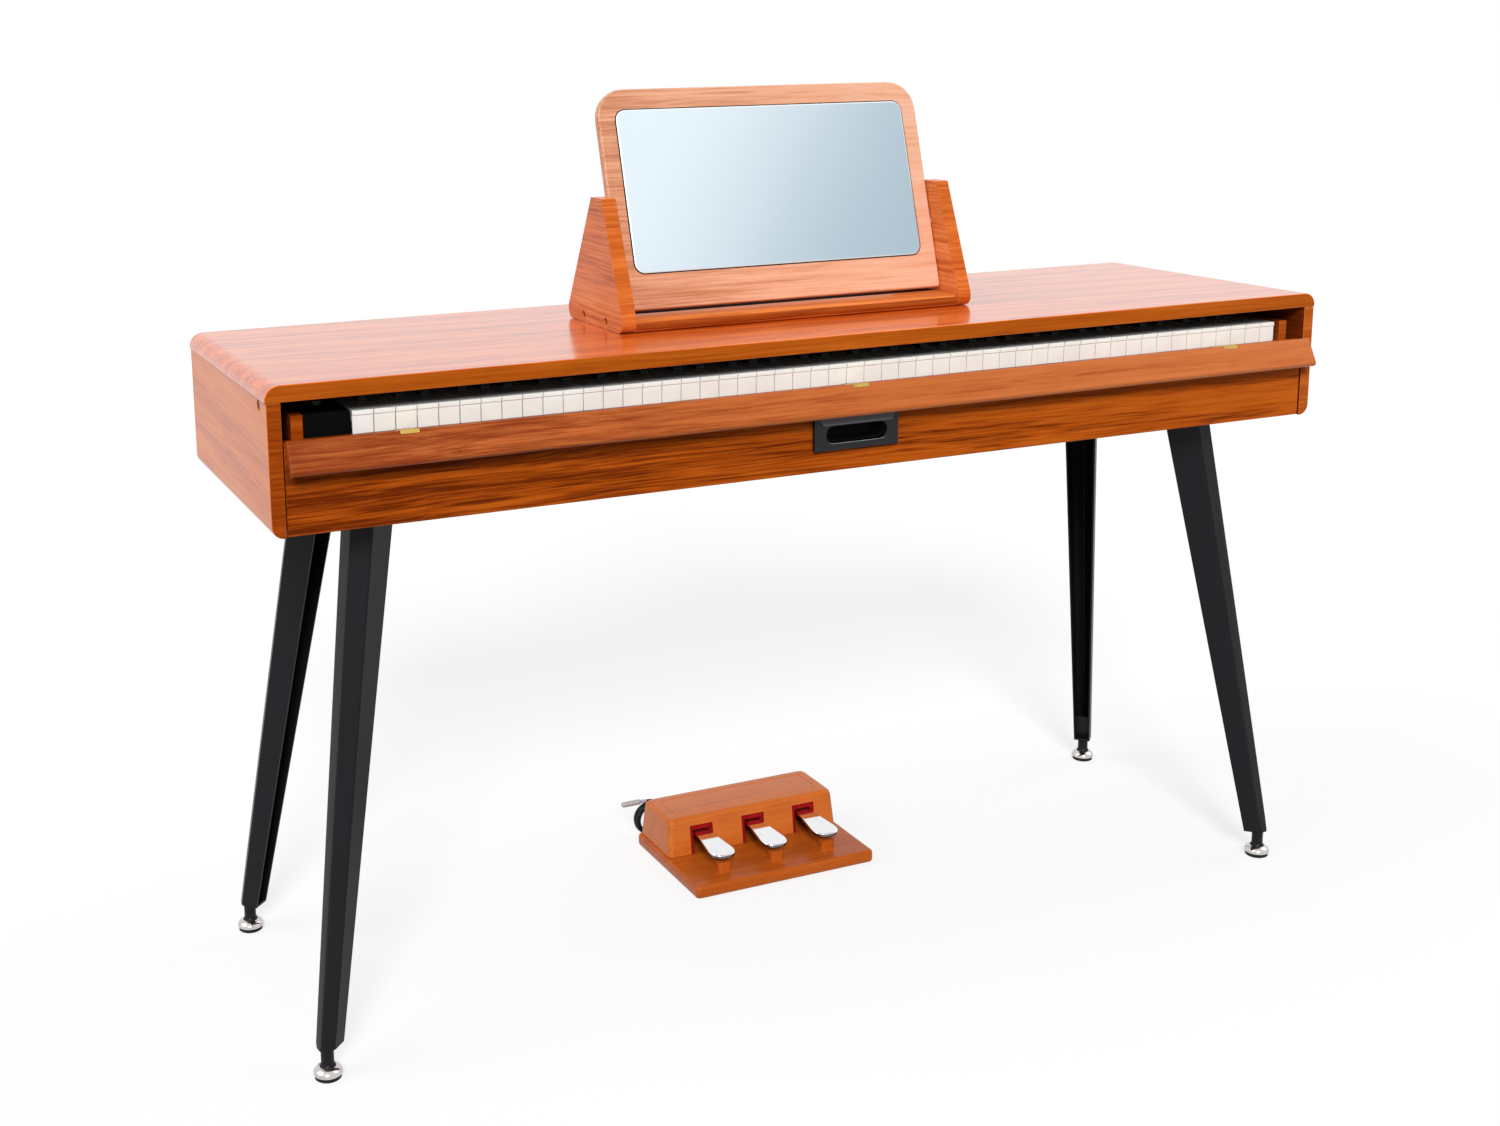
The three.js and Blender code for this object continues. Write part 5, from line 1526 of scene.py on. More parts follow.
@dataclass(frozen=True)
class Cabinet:
    """The top, sides, bottom and back, with the sockets, bolts, grilles and screws."""

    body: str = "cabinet"
    pocket_place: tuple[float, float] = (-149.65, 737.0)
    pocket_radius: float = 6.4
    pocket_depth: float = 1.8
    slot_middle_x: float = 420.0
    slot_middle_y: float = 117.35
    slot_width: float = 92.0
    slot_depth: float = 34.0
    slats: int = 7
    slat_half: float = 1.1
    slat_span: tuple[float, float] = (1.0, 4.0)
    rib_x: float = 22.0
    rib_half: float = 1.0
    rib_span: tuple[float, float] = (4.2, 6.4)
    end_trim: float = 5.0
    trim: float = 0.5
    sockets: Profile = ((475.0, 3.2), (445.0, 5.5), (415.0, 3.4), (385.0, 3.4))
    pins: int = 5
    pin_circle: float = 2.8
    pin_start: float = 8.5
    ring: Profile = ((-0.5, 0.2), (1.9, 0.2), (2.1, 0.0), (2.1, -0.5), (-0.5, -0.5), (-0.5, 0.2))
    barrel: Profile = ((-0.5, -0.3), (-0.1, -0.4), (-0.1, -9.0))
    barrel_lining: Profile = ((-0.9, -8.0), (-0.9, -0.6), (-0.5, -0.3))
    bolt: Profile = (
        (0, -1), (6.1, -1), (6.1, 0.3), (5.0, 0.4), (4.6, 1.0), (3.0, 1.2), (2.4, 1.0),
        (2.3, 0.0), (0, -0.1),
    )
    screw: tuple[float, float] = (3.2, 1.2)
    back_screw_xs: tuple[float, ...] = (-630.0, -420.0, -210.0, 0.0, 210.0, 420.0, 630.0)
    back_screw_zs: tuple[float, ...] = (620.0, 736.0)
    bottom_screw_xs: tuple[float, ...] = (-300.0, 0.0, 300.0)
    bottom_screw_ys: tuple[float, ...] = (-130.0, 150.0)

    def add_sides(self) -> None:
        """Adds both side panels, each with a recessed bolt near its front."""
        y, z = self.pocket_place
        for hand, sign in SIDES:
            low, high = extent(f"{hand}_side_panel")
            face = low.x if sign < 0 else high.x
            panel = copy_of(f"{hand}_side_panel", f"{hand}_side_board")
            cut_pockets(panel, face, sign, [self.pocket_place], self.pocket_radius,
                        self.pocket_depth)
            Board(f"{hand}_side_panel", panel.name, SIDE_WOOD, front_finish=EDGE_WOOD,
                  inner_finish=SHADED_WOOD, inner_sign=-sign).dressed(finished(panel, 0.9))
            bolt = spun(f"{hand}_side_bolt", self.bolt)
            floor = face - sign * self.pocket_depth
            place(bolt, moved(floor, y, z) @ toward(Axis.ACROSS, sign > 0))
            dress(finished(bolt, 0.0), DARK_STEEL, self.body)

    def add_sockets(self) -> None:
        """Adds the rings, barrels and pins of the four sockets in the back."""
        low, high = extent("socket_plate")
        plate = finished(copy_of("socket_plate", "socket_panel"), 0.4)
        dress(plate, SOCKET_BLACK, self.body, "socket_plate")
        middle, face = (low.z + high.z) / 2, high.y
        rings, barrels = [], []
        for x, bore in self.sockets:
            turn = moved(x, face, middle) @ toward(Axis.DEEP)
            ring = [(bore + out, height) for out, height in self.ring]
            rings.append(place(spun(f"ring_{x:.0f}", ring, 36), turn))
            outside, lining = (
                [(bore + out, height) for out, height in profile]
                for profile in (self.barrel, self.barrel_lining))
            barrels.append(place(spun(
                f"barrel_{x:.0f}", [*outside, (0, -9.0), (0, -8.0), *lining], 30), turn))
        start = face - self.pin_start
        for index in range(self.pins):
            angle = math.pi * index / (self.pins - 1)
            spot = (self.sockets[1][0] + self.pin_circle * math.cos(angle), start,
                    middle - self.pin_circle * math.sin(angle))
            barrels.append(finished(rod(f"pin_{index}", 0.5, spot, 6.0, Axis.DEEP, 12), 0.15))
        barrels.append(finished(rod(
            "power_pin", 0.9, (self.sockets[0][0], start, middle), 7.0, Axis.DEEP, 16), 0.3))
        dress(finished(joined(rings, "socket_rings"), 0.0), SCREW_STEEL, self.body)
        dress(finished(joined(barrels, "socket_barrels"), 0.0), SOCKET_BLACK, self.body)

    def add_grilles(self) -> None:
        """Adds slatted grilles in the bottom panel's two sound slots."""
        under = extent("bottom_panel")[0].z
        half, deep = self.slot_width / 2, self.slot_depth / 2
        step = self.slot_depth / self.slats
        slats = []
        for _, sign in SIDES:
            middle = sign * self.slot_middle_x
            for index in range(self.slats):
                y = self.slot_middle_y - deep + step * (index + 0.5)
                trim = self.end_trim if index in (0, self.slats - 1) else self.trim
                low, high = (under + rise for rise in self.slat_span)
                slats.append(box(
                    f"slat_{sign}_{index}", (middle - half + trim, y - self.slat_half, low),
                    (middle + half - trim, y + self.slat_half, high)))
            for offset in (-self.rib_x, self.rib_x):
                x, reach = middle + offset, deep - 0.4
                low, high = (under + rise for rise in self.rib_span)
                slats.append(box(
                    f"rib_{sign}_{offset:.0f}",
                    (x - self.rib_half, self.slot_middle_y - reach, low),
                    (x + self.rib_half, self.slot_middle_y + reach, high)))
        dress(finished(joined(slats, "sound_grilles"), 0.4, 2), SOCKET_BLACK, self.body)

    def build(self) -> None:
        """Builds the cabinet's boards and fittings."""
        for board in (
            Board("top_panel", "desk_top_board", DESK_TOP, 1.3, front_finish=DESK_EDGE,
                  under_finish=UNDER_BOARD_SHADE),
            Board("bottom_panel", "bottom_board", INNER_WOOD),
            Board("back_panel", "back_board", FRONT_WOOD, 0.7),
        ):
            board.build()
        self.add_sides()
        self.add_sockets()
        self.add_grilles()
        face = extent("back_panel")[1].y
        add_screws("back_panel_screws", *self.screw, [
            moved(x, face, z) @ toward(Axis.DEEP)
            for z in self.back_screw_zs for x in self.back_screw_xs], SCREW_STEEL, self.body)
        under = extent("bottom_panel")[0].z
        add_screws("bottom_panel_screws", *self.screw, [
            moved(x, y, under) @ toward(Axis.UPRIGHT, False)
            for x in self.bottom_screw_xs for y in self.bottom_screw_ys],
            SCREW_STEEL, self.body)


# Legs and feet


@dataclass(frozen=True)
class Legs:
    """Four folded steel legs with their bolts and levelling feet."""

    body: str = "cabinet"
    fold_outside: float = 2.9
    fold_inside: float = 1.6
    long_edge: float = 0.3
    fold_angles: tuple[float, float] = (35.0, 80.0)
    plate: float = 3.0
    bolt_radius: float = 5.8
    bolt_high: float = 4.0
    washer_radius: float = 7.4
    bolt_spots: Profile = ((12, 12), (12, 80), (80, 12))
    turns: int = 14
    pitch: float = 1.25
    thread_low: float = 32.8
    thread_radius: float = 3.4
    thread_depth: float = 0.55
    stem_top: float = 50.9
    pad: Profile = (
        (0, 0.4), (9, 0.4), (9.6, 0), (13.6, 0), (14.6, 0.8), (14.6, 2.2), (14.1, 2.5),
        (14.1, 3.0), (14.6, 3.3), (14.6, 5.2), (0, 5.2),
    )
    dome: Profile = (
        (0, 5.2), (14.2, 5.2), (15.2, 5.0), (16.0, 5.6), (16.0, 6.8), (15.7, 8.3),
        (14.9, 9.9), (13.6, 11.4), (11.8, 12.7), (9.6, 13.6), (7.2, 14.0), (0, 14.0),
    )
    neck: Profile = (
        (0, 13.6), (9.0, 13.6), (9.0, 14.3), (8.2, 15.2), (7.5, 16.6), (7.2, 18.4),
        (7.2, 32.0), (6.8, 32.8), (0, 32.8),
    )

    def add_leg(self, name: str) -> None:
        """Adds one leg with its folds rounded.

        Args:
            name: such as front_left.
        """
        leg = copy_of(f"{name}_leg", f"{name}_steel_leg")
        low, high = (math.radians(angle) for angle in self.fold_angles)
        with Bench(leg) as bench:
            for outside, radius, segments in (
                    (True, self.fold_outside, 4), (False, self.fold_inside, 3)):
                bench.edges(lambda _, run, angle, out: (
                    run.length > self.long_edge and low < angle < high and out == outside))
                bench.bevel(radius, segments)
        finished(leg, 0.35, 2, 50)
        dress(leg, LEG_PAINT, self.body, f"{name}_leg")

    def add_feet(self) -> None:
        """Adds the four feet from one pattern of each turned part."""
        radius, depth = self.thread_radius, self.thread_depth
        thread = [(0, self.thread_low - 0.1), (radius, self.thread_low - 0.1)]
        for index in range(self.turns):
            height = self.thread_low + self.pitch * index
            thread += [(radius, height), (radius + depth, height + depth),
                       (radius, height + 2 * depth)]
        stem = spun("stem_pattern", [
            *thread, (radius - 0.2, self.stem_top), (0, self.stem_top)], 24)
        nut = rod("nut_pattern", 7.6, (0, 0, 38.3), 5.5, Axis.UPRIGHT, 6)
        patterns = [
            (finished(spun("pad_pattern", self.pad, 40), 0.0), "pad", RUBBER),
            (finished(spun("dome_pattern", self.dome, 48), 0.0, angle=50), "dome", FOOT_CHROME),
            (finished(spun("neck_pattern", self.neck, 36), 0.0), "neck", LEG_PAINT),
            (finished(joined([stem, finished(nut, 0.5, 2)], "stem_pattern"), 0.0), "stem",
             DARK_STEEL),
        ]
        for name in CORNERS:
            spot = upright_over(f"{name}_foot")
            for pattern, part, finish in patterns:
                nodes = (f"{name}_foot",) if part == "dome" else ()
                dress(twin(pattern, f"{name}_foot_{part}", spot), finish, self.body, *nodes)
        for pattern, _, _ in patterns:
            bpy.data.objects.remove(pattern)

    def add_bolts(self) -> None:
        """Adds three hexagon bolts under each leg's top plate."""
        bolt = rod("bolt_pattern", self.bolt_radius, (0, 0, -self.bolt_high), self.bolt_high,
                   Axis.UPRIGHT, 6)
        with Bench(bolt) as bench:
            bench.faces(lambda middle, normal: normal.z < -0.9)
            bench.inset(1.0)
            bench.slide(0, 0, -0.4)
        finished(bolt, 0.3, 2)
        washer = finished(rod(
            "washer", self.washer_radius, (0, 0, -1.0), 1.0, Axis.UPRIGHT, 28), 0.2, 2)
        pattern = joined([bolt, washer], "bolt_pattern")
        copies = []
        for name in CORNERS:
            low, high = extent(f"{name}_leg")
            inner_x, side = (high.x, 1) if low.x < 0 else (low.x, -1)
            inner_y, depth = (high.y, 1) if low.y < 0 else (low.y, -1)
            for across, back in self.bolt_spots:
                copies.append(twin(pattern, f"bolt_{name}_{across}_{back}", moved(
                    inner_x - side * across, inner_y - depth * back, high.z - self.plate)))
        bpy.data.objects.remove(pattern)
        dress(joined(copies, "leg_plate_bolts"), SCREW_STEEL, self.body)

    def build(self) -> None:
        """Builds the legs, bolts and feet."""
        for name in CORNERS:
            self.add_leg(name)
        self.add_bolts()
        self.add_feet()


# The drawer


@dataclass(frozen=True)
class Pull:
    """The charcoal pull: a plate round a cup, with a sloping hood over its mouth."""

    body: str = "drawer"
    half: float = 55.0
    low: float = 631.5
    high: float = 670.5
    back: float = -181.95
    plate_front: float = -187.6
    hood_front: float = -190.4
    hood_low: float = 660.8
    hood_half: float = 50.5
    hood_slope: float = 3.2
    grip_half: float = 38.5
    grip_low: float = 639.5
    grip_high: float = 659.5
    mouth_grow: float = 4.0
    mouth_corner: float = 9.6
    wall: float = 1.2
    cup_back: float = -167.2
    plate_corner: float = 1.4
    cup_corner: float = 8.5
    hollow_corner: float = 8.0
    hood_taper: float = 0.885
    hollow_taper: tuple[float, float] = (0.95, 0.74)
    mouth_taper: tuple[float, float] = (0.87, 0.86)
    past: float = 4.0

    def grip(self, name: str, grow: float, front: float, back: float, corner: float) -> Piece:
        """A rounded block as wide as the grip and a little more.

        Args:
            name: its name.
            grow: how far it stands out past the grip's ends, in millimetres.
            front: its front along Y.
            back: its back along Y.
            corner: its corners' radius.

        Returns:
            The block.
        """
        rise = min(grow, 0.8)
        return rounded_box(
            name, (-self.grip_half - grow, front, self.grip_low - rise),
            (self.grip_half + grow, back, self.grip_high + rise), Axis.DEEP, corner, 8)

    def add_hood(self, plate: Piece) -> None:
        """Joins the hood to the plate: its face slopes and its ends are mitred."""
        hood = box("hood", (-self.hood_half, self.hood_front, self.hood_low),
                   (self.hood_half, self.plate_front + 1.0, self.high - 0.6))
        with Bench(hood) as bench:
            bench.points(lambda spot: spot.y < mm(self.hood_front + 0.5)
                         and spot.z > mm(self.high - 2))
            bench.slide(0, self.hood_slope - 0.3, 0)
            bench.points(lambda spot: spot.y < mm(self.hood_front + 0.5)
                         and spot.z < mm(self.hood_low + 1))
            bench.resize(self.hood_taper, 1.0, 1.0, at(0, 0, 0))
        combine(plate, "UNION", hood)

    def build(self) -> None:
        """Builds the pull as one piece."""
        plate = rounded_box(
            "drawer_pull_plate", (-self.half, self.plate_front, self.low),
            (self.half, self.back, self.high), Axis.DEEP, self.plate_corner, 4)
        self.add_hood(plate)
        cup = self.grip("cup", -0.2, self.back - 0.5, self.cup_back, self.cup_corner)
        combine(plate, "UNION", cup)
        front = self.plate_front - self.past
        hollow = self.grip(
            "hollow", -self.wall, front, self.cup_back - self.wall, self.hollow_corner)
        mouth = self.grip("mouth", self.mouth_grow, front, self.back + 0.2, self.mouth_corner)
        for cutter, (across, upright), centre in (
                (hollow, self.hollow_taper, at(0, self.cup_back, self.grip_high - 5)),
                (mouth, self.mouth_taper,
                 at(0, self.back, (self.grip_low + self.grip_high) / 2))):
            with Bench(cutter) as bench:
                bench.faces(lambda _, normal: normal.y > 0.9)
                bench.resize(across, 1.0, upright, centre)
        cut_out(plate, hollow, mouth)
        dress(finished(plate, 0.5, 3, 28), CHARCOAL, self.body, "drawer_pull")
        # The hood gets painted light, the cup painted shade and the lip a painted highlight.
        for finish in (CHARCOAL_LIT_HOOD, CUP_PAINTED_SHADE, CHARCOAL_LIP_HIGHLIGHT):
            plate.data.materials.append(finish.material())
        for polygon in plate.data.polygons:
            polygon.material_index = self.slot_of(polygon.center, polygon.normal)

    def slot_of(self, middle: Vector, normal: Vector) -> int:
        """Which of the four finishes a face takes: body, painted light on the hood, painted shade
        in the cup or a painted highlight on the lip.

        Args:
            middle: the face's middle.
            normal: its direction.

        Returns:
            The material's number.
        """
        inside = abs(middle.x) < mm(self.grip_half + self.mouth_grow + 0.2)
        lower = middle.z < mm(self.grip_low + 1.5)
        if normal.z > 0.2 and normal.y < -0.2 and middle.y < mm(self.plate_front + 0.4):
            return 3 if inside and lower else 1
        within = inside and mm(self.grip_low - 1) < middle.z < mm(self.grip_high + 1)
        return 2 if within and middle.y > mm(self.plate_front + 1.0) else 0


@dataclass(frozen=True)
class Drawer:
    """The drawer's boards, slides and pull."""

    body: str = "drawer"
    rail: float = 1.2
    screw_ys: tuple[float, ...] = (-95.0, 20.0, 140.0)

    def add_slides(self) -> None:
        """Adds the four slide rails with bent edges and their screws."""
        places = []
        for hand, sign in SIDES:
            for part, body in (("outer", "cabinet"), ("inner", self.body)):
                rail = finished(copy_of(f"{hand}_slide_{part}", f"{hand}_{part}_rail"), 0.35, 3)
                dress(rail, ZINC, body, f"{hand}_slide_{part}")
            low, high = extent(f"{hand}_slide_inner")
            face = (low.x if sign > 0 else high.x) + sign * self.rail
            places += [moved(face, y, (low.z + high.z) / 2) @ toward(Axis.ACROSS, sign > 0)
                       for y in self.screw_ys]
        add_screws("slide_screws", 3.4, 0.9, places, SCREW_STEEL, self.body)

    def build(self) -> None:
        """Builds the drawer."""
        for board in (
            Board("drawer_front", "drawer_front_board", FRONT_WOOD, 0.7, self.body),
            Board("drawer_tray", "drawer_tray_board", INNER_WOOD, 0.6, self.body),
            *(Board(f"{hand}_cheek", f"{hand}_cheek_board", SHADED_WOOD, 0.8, self.body,
                    EDGE_WOOD) for hand, _ in SIDES),
        ):
            board.build()
        Pull().build()
        self.add_slides()


@dataclass(frozen=True)
class Flap:
    """The drop flap and its three brass hinges, with a leaf on each side of the pin."""

    hinge_y: float = -183.65
    hinge_z: float = 703.0
    open_angle: float = 153.0
    pin: float = 1.7
    half: float = 10.0
    knuckles: int = 5
    knuckle_gap: float = 0.12
    leaf: float = 0.7
    leaf_low: float = 702.8
    leaf_depth: float = 14.0
    swing_low: float = 0.75
    swing_span: tuple[float, float] = (0.6, 10.4)
    lip_span: tuple[float, float] = (10.2, 11.6)
    lip_high: float = 5.2
    screw: tuple[float, float] = (1.5, 0.18)
    screw_x: float = 5.5
    screw_y: float = 9.5

    def frame_of_flap(self) -> Matrix:
        """Takes the closed flap's own place, about the hinge, to its open rest."""
        turn = Matrix.Rotation(math.radians(self.open_angle), 4, "X")
        return moved(0, self.hinge_y, self.hinge_z) @ turn

    def knuckle_row(self, name: str, middle: float, numbers: tuple[int, ...]) -> Piece:
        """The barrel pieces of one leaf.

        Args:
            name: the piece's name.
            middle: the hinge's middle along X.
            numbers: which of the barrel's pieces belong to this leaf.

        Returns:
            The barrel pieces as one, about the origin in Y and Z.
        """
        step = 2 * self.half / self.knuckles
        rows = [finished(rod(
            f"{name}_{number}", self.pin,
            (middle - self.half + step * number + self.knuckle_gap, 0, 0),
            step - 2 * self.knuckle_gap, Axis.ACROSS, 24), 0.25, 2) for number in numbers]
        return joined(rows, name)

    def add_hinge(self, hand: str) -> None:
        """Adds one hinge.

        Args:
            hand: left, middle or right.
        """
        low, high = extent(f"flap_hinge_{hand}")
        middle = (low.x + high.x) / 2
        left, right = middle - self.half, middle + self.half
        lift = self.leaf_low - self.hinge_z
        fixed = rounded_box(f"leaf_{hand}", (left, 0.0, lift),
                            (right, self.leaf_depth, lift + self.leaf), Axis.UPRIGHT, 1.2, 3)
        barrel = self.knuckle_row(f"knuckles_{hand}", middle, (0, 2, 4))
        piece = joined([finished(fixed, 0.15, 2), barrel], f"{hand}_hinge_leaf")
        place(piece, moved(0, self.hinge_y, self.hinge_z))
        mark_wear(piece, 0.4)
        dress(piece, BRASS, "drawer", f"flap_hinge_{hand}")
        add_screws(f"{hand}_hinge_screws", *self.screw, [
            moved(middle + offset, self.hinge_y + self.screw_y, self.leaf_low + self.leaf)
            for offset in (-self.screw_x, self.screw_x)], BRASS, "drawer")
        front, back = self.swing_span
        swing = rounded_box(
            f"swing_{hand}", (left, front, self.swing_low),
            (right, back, self.swing_low + self.leaf), Axis.UPRIGHT, 1.2, 3)
        front, back = self.lip_span
        lip = rounded_box(f"lip_{hand}", (left, front, self.swing_low),
                          (right, back, self.lip_high), Axis.DEEP, 1.0, 3)
        piece = joined([
            finished(swing, 0.15, 2), finished(lip, 0.15, 2),
            self.knuckle_row(f"inner_{hand}", middle, (1, 3)),
        ], f"{hand}_hinge_flap_leaf")
        place(piece, self.frame_of_flap())
        mark_wear(piece, 0.4)
        dress(piece, BRASS, "flap")

    def build(self) -> None:
        """Builds the flap and its hinges."""
        Board("flap", "flap_board", FLAP_WOOD, 0.5, "flap").build()
        for hand in ("left", "middle", "right"):
            self.add_hinge(hand)


# The keyboard


@dataclass(frozen=True)
class Keyboard:
    """The case with its end block, the keys, the controls and the speakers."""

    body: str = "drawer"
    key_top: float = 725.0
    lip: float = 5.0
    lip_reach: float = 1.2
    lip_step: float = 0.35
    front: float = -160.65
    head: float = 12.0
    skirt: float = 7.0
    knurls: int = 48
    knurl_radius: float = 6.8
    knurl_depth: float = 0.3
    pointer_low: Place = (-0.35, 3.2, 731.2)
    pointer_high: Place = (0.35, 7.0, 733.0)
    felt_low: Place = (-583.0, -9.6, 729.2)
    felt_high: Place = (634.0, -6.8, 731.6)
    speaker_narrow: float = 52 / 120
    screw_xs: tuple[float, ...] = (-620.0, -420.0, -210.0, 0.0, 210.0, 420.0, 620.0)
    screw_y: float = 150.0
    deck_top: float = 735.0
    knob: Profile = (
        (0, 717.0), (3.6, 717.0), (3.6, 726.3), (7.7, 726.3), (8.0, 726.8), (7.9, 727.6),
        (7.55, 731.0), (7.1, 731.7), (6.2, 732.0), (5.6, 731.6), (0, 731.3),
    )
    button: Profile = (
        (0, 719.0), (2.2, 719.0), (2.2, 728.3), (4.7, 728.3), (4.95, 728.6), (4.95, 730.2),
        (4.6, 730.8), (4.0, 731.0), (3.0, 730.7), (1.4, 730.35), (0, 730.25),
    )
    basket: Profile = (
        (0, 6.5), (9, 6.0), (15, 5.6), (16, 7.0), (34, 4.0), (46, 1.6), (51, 0.9),
        (52.5, 1.6), (54, 0.2), (59.4, 0.2), (59.9, 0.8), (59.9, 3.0), (50, 4.6),
        (40, 8.5), (32, 15.5), (31, 18.5), (30.8, 19.0), (30.8, 22.4), (30, 23.0),
        (30, 33.0), (28.8, 34.0), (0, 34.0),
    )

    def add_white(self, node: str, name: str, body: str) -> None:
        """Adds white keys: a lip overhangs their front.

        Args:
            node: the node with the keys' shape.
            name: the piece's name.
            body: the body that it rides on.
        """
        keys = copy_of(node, name)
        below = self.key_top - self.lip
        with Bench(keys) as bench:
            bench.split(at(0, 0, below), (0, 0, 1))
            bench.split(at(0, 0, below - self.lip_step), (0, 0, 1))
            bench.points(lambda spot: spot.y < mm(self.front + 0.1)
                         and spot.z < mm(below - 0.3))
            bench.slide(0, self.lip_reach, 0)
            bench.split(at(0, self.front + self.head, 0), (0, 1, 0))
            low = min(corner[2] for corner in keys.bound_box)
            bench.faces(lambda middle, normal: normal.z < -0.9 and middle.z < low + mm(0.2)
                        and middle.y < mm(self.front + self.head))
            bench.extrude(0, 0, -self.skirt)
        dress(finished(keys, 0.4, 2), WHITE_KEY, body, node)

    def add_keys(self) -> None:
        """Adds the single keys of the lowest octave and the two rows."""
        for letter in "abcdefg":
            self.add_white(f"white_key_{letter}", f"ivory_{letter}", f"white_key_{letter}")
        self.add_white("white_keys", "ivory_row", "white_keys")
        sharps = [f"black_key_{letter}_sharp" for letter in "acdfg"]
        for node in (*sharps, "black_keys"):
            name = node.replace("black_key", "ebony")
            dress(finished(copy_of(node, name), 0.9, 3), BLACK_KEY, node, node)

    def add_controls(self) -> None:
        """Adds the volume knob and the power button."""
        knob = spun("volume_knob_cap", self.knob, 48)
        with Bench(knob) as bench:
            bench.faces(lambda spot, normal: abs(normal.z) < 0.4
                        and math.hypot(spot.x, spot.y) > mm(self.knurl_radius)
                        and round(math.atan2(spot.y, spot.x) * self.knurls / (2 * math.pi)
                                  - 0.5) % 2 == 0)
            bpy.ops.mesh.inset(
                thickness=mm(0.12), depth=mm(-self.knurl_depth), use_individual=True)
        cut_out(knob, box("pointer", self.pointer_low, self.pointer_high))
        button = spun("power_button_cap", self.button, 40)
        for control, node in ((knob, "volume_knob"), (button, "power_button")):
            place(control, upright_over(node))
            dress(finished(control, 0.0), CHARCOAL, node, node)

    def add_felt(self) -> None:
        """Adds the felt strip under the deck's front lip, above the keys."""
        strip = box("key_felt_strip", self.felt_low, self.felt_high)
        with Bench(strip) as bench:
            bench.edges(lambda _, run, __, ___: abs(run.x) > 0.9 * run.length)
            bench.bevel(0.8, 3)
        dress(finished(strip, 0.0), RED_FELT, self.body)

    def add_speakers(self) -> None:
        """Adds the two oval speakers, which face down."""
        for hand, _ in SIDES:
            node = f"{hand}_speaker"
            basket = place(spun(f"{node}_basket", self.basket, 48),
                           upright_over(node, extent(node)[0].z)
                           @ Matrix.Diagonal((1.0, self.speaker_narrow, 1.0, 1.0)))
            dress(finished(basket, 0.0), SOCKET_BLACK, self.body, node)

    def build(self) -> None:
        """Builds the keyboard."""
        case = finished(copy_of("keyboard_case", "keyboard_end_block_case"), 0.5, 2)
        dress(case, END_BLOCK, self.body, "keyboard_case")
        self.add_felt()
        self.add_keys()
        self.add_controls()
        self.add_speakers()
        add_screws("deck_screws", 2.6, 1.0, [
            moved(x, self.screw_y, self.deck_top) for x in self.screw_xs],
            SCREW_STEEL, self.body)


# The mirror


